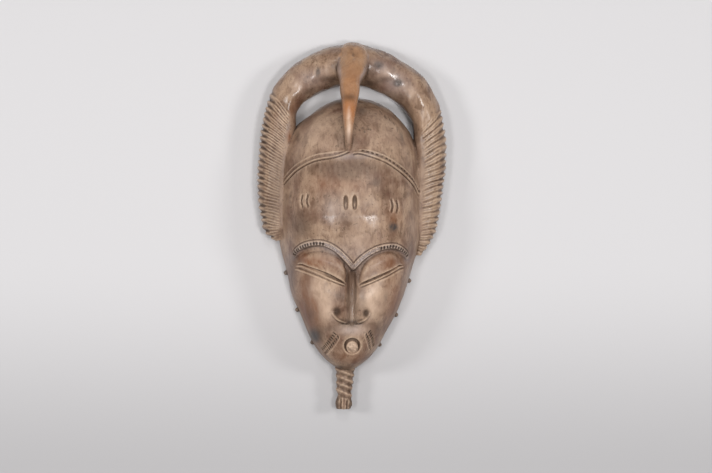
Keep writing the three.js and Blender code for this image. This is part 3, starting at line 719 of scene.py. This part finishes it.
beard_grid, beard_dirt_and_shade = beard()
skins.append(closed(beard_grid))
painted.append((upper_half(beard_grid), upper_half(beard_dirt_and_shade), 1.0))

# Bosses and small cuts. Six little bosses stand on the edge of the jaw. The pits and notches of the
# brows, cheeks and hairline are cut one by one, so no two are quite alike.

carver = bpy.data.collections.new("carver")
bpy.context.scene.collection.children.link(carver)


def add(tree, kind, settings=None, inputs=None):
    """Adds a node with its settings, and links or values for its inputs."""
    node = tree.nodes.new(kind)
    for name, value in (settings or {}).items():
        setattr(node, name, value)
    for name, value in (inputs or {}).items():
        if isinstance(value, bpy.types.Node):
            value = next(output for output in value.outputs if output.enabled)
        if isinstance(value, bpy.types.NodeSocket):
            tree.links.new(value, node.inputs[name])
        else:
            node.inputs[name].default_value = value
    return node


def object_from(name, mesh):
    holder = bpy.data.objects.new(name, mesh)
    carver.objects.link(holder)
    return holder


def baked(holder, modifier):
    """Keeps what a modifier makes as the object's own plain mesh."""
    mesh = bpy.data.meshes.new_from_object(holder.evaluated_get(bpy.context.evaluated_depsgraph_get()))
    holder.modifiers.remove(modifier)
    holder.data = mesh
    return holder


def read(items, field, width=3, whole=False):
    """The numbers that a mesh keeps for each of its items, one row for each."""
    values = np.empty(len(items) * width, np.int32 if whole else np.float32)
    items.foreach_get(field, values)
    return values.reshape(-1, width).astype(int if whole else float)


def scatter_tree(name, material):
    """A tree that sets a small oval solid on each point, by its size, facing and heading."""
    tree = bpy.data.node_groups.new(name, "GeometryNodeTree")
    tree.interface.new_socket("Geometry", in_out="INPUT", socket_type="NodeSocketGeometry")
    for label, kind, value in (("Sides", "NodeSocketInt", 12), ("Unevenness", "NodeSocketFloat", 0.15)):
        tree.interface.new_socket(label, in_out="INPUT", socket_type=kind).default_value = value
    tree.interface.new_socket("Geometry", in_out="OUTPUT", socket_type="NodeSocketGeometry")
    given = add(tree, "NodeGroupInput")
    oval = add(
        tree, "GeometryNodeMeshUVSphere", None,
        {"Segments": given.outputs["Sides"], "Rings": 8, "Radius": 0.5},
    )
    vectors = {}
    for label in ("size", "facing", "heading"):
        node = add(tree, "GeometryNodeInputNamedAttribute", {"data_type": "FLOAT_VECTOR"}, {"Name": label})
        vectors[label] = node.outputs["Attribute"]
    upright = add(tree, "FunctionNodeAlignRotationToVector", {"axis": "Z"}, {"Vector": vectors["facing"]})
    turned = add(
        tree, "FunctionNodeAlignRotationToVector", {"axis": "X", "pivot_axis": "Z"},
        {"Rotation": upright.outputs["Rotation"], "Vector": vectors["heading"]},
    )
    less = add(tree, "ShaderNodeMath", {"operation": "SUBTRACT"}, {0: 1.0, 1: given.outputs["Unevenness"]})
    chance = add(
        tree, "FunctionNodeRandomValue", {"data_type": "FLOAT"},
        {"Min": less, "Max": 1.0, "Seed": 7},
    )
    size = add(
        tree, "ShaderNodeVectorMath", {"operation": "SCALE"},
        {0: vectors["size"], "Scale": chance.outputs["Value"]},
    )
    placed = add(
        tree, "GeometryNodeInstanceOnPoints", None,
        {
            "Points": given.outputs["Geometry"], "Instance": oval.outputs["Mesh"],
            "Rotation": turned.outputs["Rotation"], "Scale": size.outputs["Vector"],
        },
    )
    real = add(tree, "GeometryNodeRealizeInstances", None, {"Geometry": placed.outputs["Instances"]})
    dressed = add(
        tree, "GeometryNodeSetMaterial", None, {"Geometry": real.outputs["Geometry"], "Material": material}
    )
    add(tree, "NodeGroupOutput", None, {"Geometry": dressed.outputs["Geometry"]})
    return tree


def scatter(name, spots, facings, headings, sizes, sides, unevenness, material):
    """A plain mesh of small oval solids, one on each spot."""
    mesh = bpy.data.meshes.new(name)
    mesh.from_pydata([tuple(spot) for spot in spots], [], [])
    for label, values in (("size", sizes), ("facing", facings), ("heading", headings)):
        layer = mesh.attributes.new(label, "FLOAT_VECTOR", "POINT")
        layer.data.foreach_set("vector", np.array(values, np.float32).ravel())
    holder = object_from(name, mesh)
    tree = scatter_tree(name + "_tree", material)
    modifier = holder.modifiers.new(name, "NODES")
    modifier.node_group = tree
    named = {item.name: item.identifier for item in tree.interface.items_tree if item.in_out == "INPUT"}
    modifier[named["Sides"]] = sides
    modifier[named["Unevenness"]] = unevenness
    return baked(holder, modifier)


wood = bpy.data.materials.new("carved_hardwood_patina_and_painted_light")
KNOB_RADIUS = 2.7
KNOBS = [(-1, -49), (-1, -87.5), (-1, -121.5), (1, -57.5), (1, -93), (1, -124)]
knob_spots = [
    (float(centre_line(y) + side * (half_width(y) + 0.25 * KNOB_RADIUS)), y, KNOB_RADIUS * 2.2)
    for side, y in KNOBS
]
knobs = scatter(
    "jaw_bosses", knob_spots, [(side, 0, 0) for side, _ in KNOBS], [(0, 1, 0)] * 6,
    [(1.9 * KNOB_RADIUS, 1.75 * KNOB_RADIUS, 1.9 * KNOB_RADIUS)] * 6, 24, 0.06, wood,
)
knobs.data.calc_loop_triangles()
skins.append((read(knobs.data.vertices, "co"), read(knobs.data.loop_triangles, "vertices", whole=True)))

flat_face, flat_skin, flat_normals = face.reshape(-1, 3), skin.reshape(-1, 3), face_normals.reshape(-1, 3)
nearest = [int(((flat_face - spot) ** 2).sum(1).argmin()) for spot, _, _, _ in pits]
cuts = scatter(
    "small_cuts", flat_skin[nearest], flat_normals[nearest], [heading for _, _, heading, _ in pits],
    [(length, width, 2 * depth) for _, _, _, (length, width, depth, _) in pits], 12, 0.3, wood,
)

# One block. All of it is carved from one piece of wood, so the skins are joined into one closed mesh.
# The back is hollowed with a gouge to a wall of about 10 mm, and its rim is cut to one flat plane.


def applied(holder, kind, **settings):
    """Runs one modifier and keeps its result as a plain mesh."""
    modifier = holder.modifiers.new(kind, kind)
    for name, value in settings.items():
        setattr(modifier, name, value)
    return baked(holder, modifier)


VOXEL = 0.55
block = object_from("block", mesh_from("block", skins))
applied(block, "REMESH", mode="VOXEL", voxel_size=VOXEL)

hollow = dome(300, 260, 1.24, WALL)
gouge = facing(hollow)
gouge[:, :2] = gouge[:, 2:3]
gouge[:, -2:] = gouge[:, -3:-2]
facet = 0.45 * np.abs(np.sin(hollow[..., 0] / 3.4 + 0.6 * np.sin(hollow[..., 1] / 21)))
facet = facet * (0.7 + 0.3 * np.sin(hollow[..., 1] / 7.5 + np.floor(hollow[..., 0] / 10.7) * 2))
hollow = hollow + gouge * (facet + 0.7 * waves(hollow, 38, 60))[..., None]
hollow[:, [0, -1], 2] = -20
corners = ((-150, -220), (150, -220), (150, 250), (-150, 250))
under = np.array([(x, y, z) for z in (-60, 0) for x, y in corners])
under_faces = [(0, 2, 1), (0, 3, 2), (4, 5, 6), (4, 6, 7), (0, 1, 5), (0, 5, 4), (1, 2, 6), (1, 6, 5)]
under_faces = np.array(under_faces + [(2, 3, 7), (2, 7, 6), (3, 0, 4), (3, 4, 7)])
for i, cutter_skin in enumerate((closed(hollow), (under.astype(float), under_faces))):
    cutter = object_from(f"cutter_{i}", mesh_from(f"cutter_{i}", [cutter_skin]))
    applied(block, "BOOLEAN", operation="DIFFERENCE", solver="MANIFOLD", object=cutter)
applied(block, "BOOLEAN", operation="DIFFERENCE", solver="MANIFOLD", object=cuts)
applied(block, "TRIANGULATE")

# Age and handling. Grime stays in the cuts, high places are rubbed pale, the beak has been handled until it
# turned orange, and a grey bloom lies on the smooth of the horns. Cuts and hollows are also darkened as
# painted shade, and some pale and grey patches are painted highlights, sheen and reflection.

points = read(block.data.vertices, "co")
normals = read(block.data.vertices, "normal")
edges = read(block.data.edges, "vertices", 2, whole=True)
ends_a = np.concatenate((edges[:, 0], edges[:, 1]))
ends_b = np.concatenate((edges[:, 1], edges[:, 0]))
neighbours = np.bincount(ends_a, minlength=len(points))


def smoothed(values, rounds):
    """Values that blend with those of their neighbours, a given number of times."""
    for _ in range(rounds):
        total = np.stack([np.bincount(ends_a, column[ends_b], len(points)) for column in values.T], axis=1)
        values = 0.5 * values + 0.5 * total / neighbours[:, None]
    return values


near_smooth = smoothed(points, 8)
far_smooth = smoothed(near_smooth, 60)
fine_depth = ((near_smooth - points) * normals).sum(1)
broad_depth = ((far_smooth - near_smooth) * normals).sum(1)
# The hollows found here, fine and broad, are darkened later as painted shade.
depths = {
    "cut": ramp(0.03, 0.3, fine_depth), "edge": ramp(0.02, 0.16, -fine_depth),
    "hollow_place": ramp(0.1, 0.9, broad_depth), "high_place": ramp(0.05, 0.6, -broad_depth),
}
for name, values in depths.items():
    block.data.attributes.new(name, "FLOAT", "POINT").data.foreach_set("value", values.astype(np.float32))

# The hollow and the back are plain, so they keep fewer triangles than the worked front, and the
# small cuts keep the most.
TRIANGLES = 188000
plain = (normals[:, 2] < -0.1) | (points[:, 2] < 1.0)
worked = ~plain & (np.abs(fine_depth) > 0.05)
pitted = np.zeros(len(points), bool)
for k in nearest:
    pitted |= ((points - flat_skin[k]) ** 2).sum(1) < 6
shares = block.vertex_groups.new(name="plainness")
for chosen, share in (
    (plain, 1.0), (~plain & ~worked & ~pitted, 0.9), (worked & ~pitted, 0.8), (pitted & ~plain, 0.5),
):
    shares.add(np.flatnonzero(chosen).tolist(), share, "REPLACE")
applied(
    block, "DECIMATE", ratio=TRIANGLES / len(block.data.polygons), use_collapse_triangulate=True,
    vertex_group="plainness", vertex_group_factor=0.02,
)
points = read(block.data.vertices, "co")
normals = read(block.data.vertices, "normal")
triangles = read(block.data.polygons, "vertices", whole=True)
for name in depths:
    depths[name] = read(block.data.attributes[name].data, "value", 1)[:, 0]
px, py, pz = points.T
front = ramp(-0.1, 0.25, normals[:, 2])


def paint_on(grid, paint, cell):
    """The paint of a grid of points, for the mesh's own points that lie on it."""
    spots, shades = grid.reshape(-1, 3), paint.reshape(-1)
    keys, own = (
        ((q[:, 0] + 150) / cell).astype(int) * 1000 + ((q[:, 1] + 250) / cell).astype(int)
        for q in (spots, points)
    )
    size = 1000 * 600
    count = np.maximum(1, np.bincount(keys, minlength=size))
    shade = np.bincount(keys, shades, minlength=size) / count
    level = np.bincount(keys, spots[:, 2], minlength=size) / count
    return shade[own] * (np.abs(level[own] - pz) < 2.5) * front


# The groove mark: cuts and hollows darkened as dirt and painted shade, less so at the seam beside the horns.
beside_face = np.abs(px - centre_line(py)) - half_width(py)
seam = bar(beside_face - 0.5, 7, 5) * ramp(-30, -15, py) * (1 - ramp(80, 95, py)) * front
groove = depths["cut"] * (1 - 0.6 * seam)
for grid, paint, cell in painted:
    groove = np.maximum(groove, paint_on(grid, paint, cell))
# The inside of each pit is darkened as dirt and painted shade.
for k, (_, up, heading, (length, width, depth, dark)) in zip(nearest, pits):
    arrow = points - flat_skin[k]
    close = np.flatnonzero(np.abs(arrow).max(axis=1) < 5)
    arrow = arrow[close]
    run, over = arrow @ heading, arrow @ up
    beside = arrow @ np.cross(up, heading)
    gap = np.hypot(np.hypot(run / (length / 2 + 0.2), beside / (width / 2 + 0.15)), over / (depth + 1.2))
    groove[close] = np.maximum(groove[close], dark * (gap < 1.1))


def blobs(spots):
    """Soft oval patches: each is its middle, its two radii and its strength."""
    total = np.zeros(len(points))
    for x, y, across, along, strength in spots:
        total += strength * np.exp(-(((px - x) / across) ** 2) - ((py - y) / along) ** 2)
    return total


beak_top = upper_half(beak)
round_beak = np.sin(np.linspace(0, math.pi, beak_top.shape[1])) * np.ones((len(beak), 1))
on_beak = paint_on(beak_top, ramp(0.0, 0.35, round_beak), 1.0)
beak_rim = paint_on(beak_top, bar(round_beak - 0.3, 0.2, 0.3), 1.0) * ramp(132, 150, py)
crest = ramp(112, 128, py) * (1 - on_beak)
# Pale worn patches; the three on the cheeks stand partly for painted highlights.
PALE_PLACES = [
    (-37, -64, 9, 13, 0.9), (-28, -84, 9, 14, 0.7), (17, -75, 14, 20, 0.8), (-3, -106, 17, 5, 0.45),
    (2, -15, 11, 8, 0.5), (-38, 92, 20, 20, 0.35), (31, 91, 22, 20, 0.25), (-9, -164, 10, 22, 0.15),
    (-57, 141, 7, 7, 0.5), (-28, 155, 6, 5, 0.5), (59, 137, 7, 7, 0.5), (33, 155, 8, 6, 0.4),
    (-1.5, -123, 5, 5, 0.9), (63, 5, 6, 14, 0.35), (16, 0, 10, 10, 0.35),
]
RUDDY_PLACES = [
    (-48, -78, 9, 26, 1.0), (-42, -92, 10, 14, 0.8), (-30, -36, 16, 8, 0.3), (41, -78, 9, 24, 0.9),
    (-50, -34, 8, 7, 0.8), (-35, -38, 14, 7, 0.5), (33, -38, 16, 9, 0.6), (-29, 42, 16, 9, 0.6),
    (41, 8, 8, 10, 0.6), (-2, 40, 14, 8, 0.4), (-60, 117, 5, 9, 0.7), (-65, 91, 3, 6, 1.0),
    (33, 141, 9, 5, 0.5), (-2, -134, 17, 7, 0.6),
]
# Dark patches, mostly grime; those under the nose, in the nostrils and where the beard meets the chin are
# painted shade.
DARK_PLACES = [
    (-8, 58, 45, 9, 0.6), (-86, 12, 9, 24, 0.4), (-77, 40, 6, 34, 0.4), (-8, -156, 12, 15, 0.3),
    (-87, 70, 8, 30, 0.2), (-43, -93, 8, 10, 0.4), (8, -76, 3, 13, 0.45), (-46, -60, 5, 14, 0.25),
    (-53, -2, 10, 13, 0.75), (22, 43, 4, 4, 0.8), (-38, -112, 7, 8, 1.2), (-17.5, -88, 5, 5, 0.3),
    (12.2, -90, 4.6, 4.6, 0.3), (-3, -97, 9, 2.5, 0.7), (-2.8, -72, 3, 24, 0.9), (-50, -84, 6, 20, 0.25),
    (42, -88, 6, 18, 0.25), (45, 115, 4, 6, 0.6), (52, 105, 4, 6, 0.6), (59, 94, 4, 7, 0.6),
    (-17, 164, 5, 7, 0.6), (15, 158, 5, 9, 0.7), (33, 150, 10, 3, 0.6), (50, 133, 5, 5, 0.5),
    (-45, 137, 8, 3, 0.5), (-70, 125, 4, 8, 0.3), (12, 118, 7, 6, 0.4), (-14, 128, 6, 4, 0.4),
    (-8, 48, 16, 5, 0.35), (30, 32, 9, 7, 0.3),
    (-22, -105, 10, 3, 0.5), (24, -106, 8, 7, 0.45), (-2, -49, 5, 6, 0.9), (-59, -31, 4, 8, 0.6),
    (53, -29, 4, 7, 0.6), (-62, -47, 4, 14, 0.4), (-3, -99.5, 16, 2.5, 0.6), (-24, 150, 9, 3.5, 0.9),
    (18, 146, 10, 4, 0.8), (57, 122, 5, 14, 0.4), (-57, 91, 2.5, 6, 0.9), (-15, 91, 6, 14, 0.4),
    (-12, -146, 4, 2, 0.8), (-5, 128, 6, 4, 0.9), (27, 124, 4, 2, 1.0), (-12, 8, 10, 22, 0.2),
]
SMEARS = [
    (39, -2, 5.5, 4.5, 1.0), (-36, 157, 3, 6, 0.8), (26, 164, 7, 6, 0.7), (46, 146, 6, 5, 0.9),
    (8, 116, 6, 8, 0.45), (38, 105, 9, 8, 0.35), (49, 91, 3, 10, 0.5), (32, -73, 4, 12, 0.4),
    (-40, -114, 6, 7, 0.9),
]
# Grey bloom lies on the horns; on the side walls of the face the grey stands for a painted reflection of the
# paper, and on the forehead, the lids and under the hairline for the painted sheen of the highlights.
BLOOM_AND_SHEEN_PLACES = [
    (43, 146, 14, 12, 0.6), (28, 163, 12, 8, 0.5), (-44, 150, 14, 9, 0.4), (-65, -50, 5, 30, 0.6),
    (57, -48, 5, 30, 0.3), (-3, -106, 14, 5, 0.5), (-9, 69, 14, 3, 0.8), (14, 70, 10, 3, 0.5),
    (-20, 14, 14, 12, 0.3), (-20, -28, 16, 8, 0.3), (8, -30, 8, 8, 0.3),
]
POLISHED_PLACES = [
    (-24, 4, 18, 18, 1.0), (16, 4, 20, 20, 1.0), (-3, -75, 3, 26, 1.0), (-33, -74, 14, 20, 0.5),
    (16, -72, 14, 18, 0.4), (-30, -38, 14, 7, 0.6), (28, -38, 14, 7, 0.5), (45, 146, 12, 12, 0.6),
    (-45, 148, 14, 10, 0.5), (-70, 120, 10, 14, 0.4), (68, 118, 8, 14, 0.4), (14, 160, 14, 8, 0.6),
]
# The jaw bosses are painted dark grey all over.
bosses = np.zeros(len(points))
for spot in knob_spots:
    bosses = np.maximum(bosses, ramp(4.2, 2.8, np.linalg.norm(points - spot, axis=1)))
brow_ash = np.zeros(len(points))
for stops in BROW_LINES:
    for x, y in through(stops, 70):
        brow_ash = np.maximum(brow_ash, np.exp(-(((px - x) ** 2 + (py - y) ** 2) / 9)))
horn_ridges = ramp(0, 6, beside_face) * ramp(125, 100, py) * ramp(-45, -30, py)
# Broad hollows, darkened below as painted shade.
hollow_place = depths["hollow_place"] * (1 - seam)
beak_heat = blobs([(-4, 116, 14, 15, 0.9), (-2, 146, 14, 18, 0.35)])
on_bridge = np.minimum(1, blobs([(-2.9, -58, 3.5, 16, 1.0), (-2.9, -82, 3.5, 14, 1.0)]))
unrubbed = 1 - 0.85 * np.maximum(on_beak, on_bridge)
# A painted highlight along the ridge of the beak.
beak_painted_highlight = blobs([(-6.3, 100, 2.4, 12, 1.1)])
beak_polish = 0.8 * on_beak * ramp(88, 105, py)
# Painted light among the marks: the groove and grime marks hold painted shade as well as dirt, the pale mark
# holds painted highlights as well as wear, and the bloom holds painted sheen and reflection as well as dust.
marks = {
    "groove": np.maximum(groove, 0.3 * hollow_place),
    "rubbed": np.maximum(depths["edge"], 0.6 * depths["high_place"]) * front * unrubbed,
    "pale": (blobs(PALE_PLACES) + 0.25 * seam) * front * (1 - on_beak) + on_beak * beak_painted_highlight,
    "ruddy": blobs(RUDDY_PLACES) * front,
    "grime_and_shade": blobs(DARK_PLACES) + 0.3 * hollow_place,
    "smear_and_dark_bosses": np.maximum(ramp(0.15, 0.8, blobs(SMEARS)) * front * (1 - on_beak), 0.8 * bosses),
    "handled": on_beak * ramp(80, 104, py) * 0.9,
    "warmed": on_beak * beak_heat,
    "bloom_and_sheen": (1 - on_beak) * (blobs(BLOOM_AND_SHEEN_PLACES) + 0.8 * brow_ash * front) + 0.7 * beak_rim,
    "polish": np.maximum(blobs(POLISHED_PLACES) + 0.6 * horn_ridges + 0.7 * crest, beak_polish) * front,
    "back": ramp(0.2, -0.2, normals[:, 2]) * ramp(2, 8, face_height(px, py) - pz),
}

middle = (points.min(0) + points.max(0)) / 2
placed = points - (middle[0], middle[1], 0)
placed = np.clip(placed, np.array(cad_bounds[0]) / MM, np.array(cad_bounds[1]) / MM)
carving = bpy.data.objects.new("mask_carving", mesh_from("mask_carving", [(placed * MM, triangles)]))
bpy.context.scene.collection.objects.link(carving)
for name, values in marks.items():
    layer = carving.data.attributes.new(name, "FLOAT", "POINT")
    layer.data.foreach_set("value", np.clip(values, 0, 1).astype(np.float32))
for holder in list(carver.objects):
    bpy.data.objects.remove(holder)
bpy.data.collections.remove(carver)
carving.data.materials.append(wood)
carving.data.shade_smooth()
carving.data.validate()

# The wood. A dense brown hardwood, stained dark, then worn and dusted to a greyish brown skin. Its
# grain runs the length of the block, and its sheen is low, a little higher where hands have rubbed it.


def linear(code):
    """An sRGB hex colour as a linear one."""
    shares = [int(code[i : i + 2], 16) / 255 for i in (1, 3, 5)]
    return tuple(s / 12.92 if s <= 0.04045 else ((s + 0.055) / 1.055) ** 2.4 for s in shares) + (1.0,)


wood.use_nodes = True
tree = wood.node_tree
tree.nodes.clear()
place = add(tree, "ShaderNodeTexCoord").outputs["Object"]
kept = {}
for name in marks:
    reader = add(tree, "ShaderNodeAttribute", {"attribute_type": "GEOMETRY", "attribute_name": name})
    kept[name] = reader.outputs["Fac"]
patterns = {}
for name, stretch, size_mm, detail, warp in (
    ("grain", 6, 1.6, 5.0, 0.3), ("streaks", 2.5, 8, 5.0, 0.8), ("blotches", 1.3, 24, 5.0, 0.5),
    ("mottle", 1.5, 9, 6.0, 0.5), ("speckle", 1.3, 2.4, 3.0, 0.0),
):
    drawn_out = add(tree, "ShaderNodeMapping", None, {"Vector": place, "Scale": (1, 1 / stretch, 1)})
    patterns[name] = add(
        tree, "ShaderNodeTexNoise", None,
        {
            "Vector": drawn_out, "Scale": 1000 / size_mm, "Detail": detail, "Roughness": 0.58,
            "Distortion": warp,
        },
    )
cloud = add(
    tree, "ShaderNodeMapRange", None,
    {"Value": patterns["blotches"], "From Min": 0.35, "From Max": 0.62},
)
dark_wood, light_wood = linear("#6d4f3f"), linear("#a38770")
colour = add(tree, "ShaderNodeMix", {"data_type": "RGBA"}, {0: cloud, 6: dark_wood, 7: light_wood})
# The groove and grime layers carry painted shade as well as dirt, the pale layer carries painted highlights
# as well as wear, and the bloom layer carries painted sheen and reflection as well as dust.
LAYERS = [
    ("pale streaks", "streaks", (0.45, 0.7, 0.0, 0.35), "#bba18c"),
    ("mottling", "mottle", (0.34, 0.5, 0.6, 0.0), "#5d4434"),
    ("dark grain", "grain", (0.38, 0.58, 0.25, 0.0), "#573f30"),
    ("pores", "speckle", (0.33, 0.42, 0.55, 0.0), "#46321f"),
    ("ruddy", "mottle", (0.35, 0.6, 1.0, 0.45), "#7b4b2e"),
    ("handled", "streaks", (0.35, 0.65, 0.4, 0.95), "#a98261"),
    ("warmed", "streaks", (0.3, 0.7, 0.65, 1.0), "#a3622f"),
    ("pale", "mottle", (0.3, 0.65, 0.5, 1.0), "#d0b49e"),
    ("bloom_and_sheen", "blotches", (0.35, 0.65, 0.4, 0.9), "#a3999a"),
    ("rubbed", "streaks", (0.3, 0.7, 0.3, 0.7), "#ccb198"),
    ("grime_and_shade", "mottle", (0.3, 0.7, 0.6, 0.95), "#45342a"),
    ("smear_and_dark_bosses", "speckle", (0.35, 0.65, 0.6, 1.0), "#403b39"),
    ("groove", "speckle", (0.3, 0.7, 0.75, 0.97), "#33251b"),
    ("back", "streaks", (0.3, 0.7, 0.9, 1.0), "#5a4535"),
]
for label, pattern, (least, most, at_least, at_most), tint in LAYERS:
    amount = add(
        tree, "ShaderNodeMapRange", None,
        {
            "Value": patterns[pattern], "From Min": least, "From Max": most,
            "To Min": at_least, "To Max": at_most,
        },
    )
    if label in kept:
        amount = add(tree, "ShaderNodeMath", {"operation": "MULTIPLY"}, {0: amount, 1: kept[label]})
    colour = add(
        tree, "ShaderNodeMix", {"data_type": "RGBA", "label": label}, {0: amount, 6: colour, 7: linear(tint)}
    )
dull = add(
    tree, "ShaderNodeMapRange", None,
    {"Value": patterns["mottle"], "From Min": 0.3, "From Max": 0.7, "To Min": 0.4, "To Max": 0.52},
)
for mark, change in (("polish", -0.24), ("groove", 0.3)):
    dull = add(tree, "ShaderNodeMath", {"operation": "MULTIPLY_ADD"}, {0: kept[mark], 1: change, 2: dull})
relief = add(
    tree, "ShaderNodeMath", {"operation": "MULTIPLY_ADD"},
    {0: patterns["grain"], 1: 1.4, 2: patterns["speckle"]},
)
bump = add(tree, "ShaderNodeBump", None, {"Height": relief, "Strength": 0.35, "Distance": 0.0002})
surface = add(
    tree, "ShaderNodeBsdfPrincipled", None,
    {"Base Color": colour, "Roughness": dull, "Normal": bump, "IOR": 1.45},
)
add(tree, "ShaderNodeOutputMaterial", None, {"Surface": surface})

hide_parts("mask")
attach(carving, "root")

# The studio. A sheet of matt paper, pale above and greyer below as painted shade where the light falls off,
# under two soft boxes that throw a shadow to each side, a third overhead, and three small lamps that give the
# glints.

bpy.context.scene.view_settings.view_transform = "Standard"
bpy.ops.mesh.primitive_plane_add(size=6)
ground = bpy.context.object
ground.name = "paper_ground"
paper = bpy.data.materials.new("matt_paper_painted_falloff")
paper.use_nodes = True
sheet = paper.node_tree
paper_place = add(sheet, "ShaderNodeTexCoord").outputs["Object"]
across_paper = add(sheet, "ShaderNodeSeparateXYZ", None, {0: paper_place})
# Painted shade: the paper is greyer toward the bottom, where the light falls off.
shade = add(
    sheet, "ShaderNodeMapRange", {"interpolation_type": "SMOOTHSTEP"},
    {"Value": across_paper.outputs["Y"], "From Min": -0.27, "From Max": -0.03},
)
greyer, paler = linear("#b1afb0"), linear("#cbc9ca")
tone = add(sheet, "ShaderNodeMix", {"data_type": "RGBA"}, {0: shade, 6: greyer, 7: paler})
sheet.links.new(tone.outputs[2], sheet.nodes["Principled BSDF"].inputs["Base Color"])
sheet.nodes["Principled BSDF"].inputs["Roughness"].default_value = 0.95
ground.data.materials.append(paper)


def soft_light(name, spot, target, size, power, glints=True):
    lamp = bpy.data.lights.new(name, "AREA")
    lamp.shape = "DISK"
    lamp.size = size
    lamp.energy = power
    holder = bpy.data.objects.new(name, lamp)
    holder.location = spot
    holder.rotation_euler = (Vector(target) - Vector(spot)).to_track_quat("-Z", "Y").to_euler()
    holder.visible_glossy = glints
    bpy.context.scene.collection.objects.link(holder)


soft_light("left_box", (-1.5, 0.2, 1.2), (0, 0, 0.03), 0.4, 12.5, glints=False)
soft_light("right_box", (1.5, 0.2, 1.2), (0, 0, 0.03), 0.4, 11.5, glints=False)
soft_light("left_lamp", (-0.65, -0.16, 1.55), (0, 0, 0.07), 0.28, 6.5)
soft_light("right_lamp", (0.466, -0.16, 1.61), (0, 0, 0.07), 0.3, 9.2)
soft_light("top_box", (0.0, 0.35, 1.65), (0, 0, 0.05), 0.5, 4.2, glints=False)
soft_light("top_lamp", (0.0, 0.85, 1.45), (0, 0, 0.06), 0.25, 2.6)
world = bpy.data.worlds.new("room")
bpy.context.scene.world = world
world.use_nodes = True
world.node_tree.nodes["Background"].inputs["Color"].default_value = linear("#ffffff")
world.node_tree.nodes["Background"].inputs["Strength"].default_value = 0.15

# The camera looks down on the mask from over its middle.

AIM = Vector((0.0036, -0.01107, 0.025))
DISTANCE = 1.7316
TURN = math.radians(3)
camera = bpy.data.cameras.new("camera")
camera.lens = 85
camera.sensor_width = 36
viewer = bpy.data.objects.new("camera", camera)
back_axis = Vector((-math.sin(TURN), 0, math.cos(TURN)))
viewer.location = AIM + back_axis * DISTANCE
side_axis = Vector((0, 1, 0)).cross(back_axis)
turn = np.column_stack((side_axis, (0, 1, 0), back_axis))
viewer.rotation_euler = Matrix(turn.tolist()).to_euler()
bpy.context.scene.collection.objects.link(viewer)
bpy.context.scene.camera = viewer
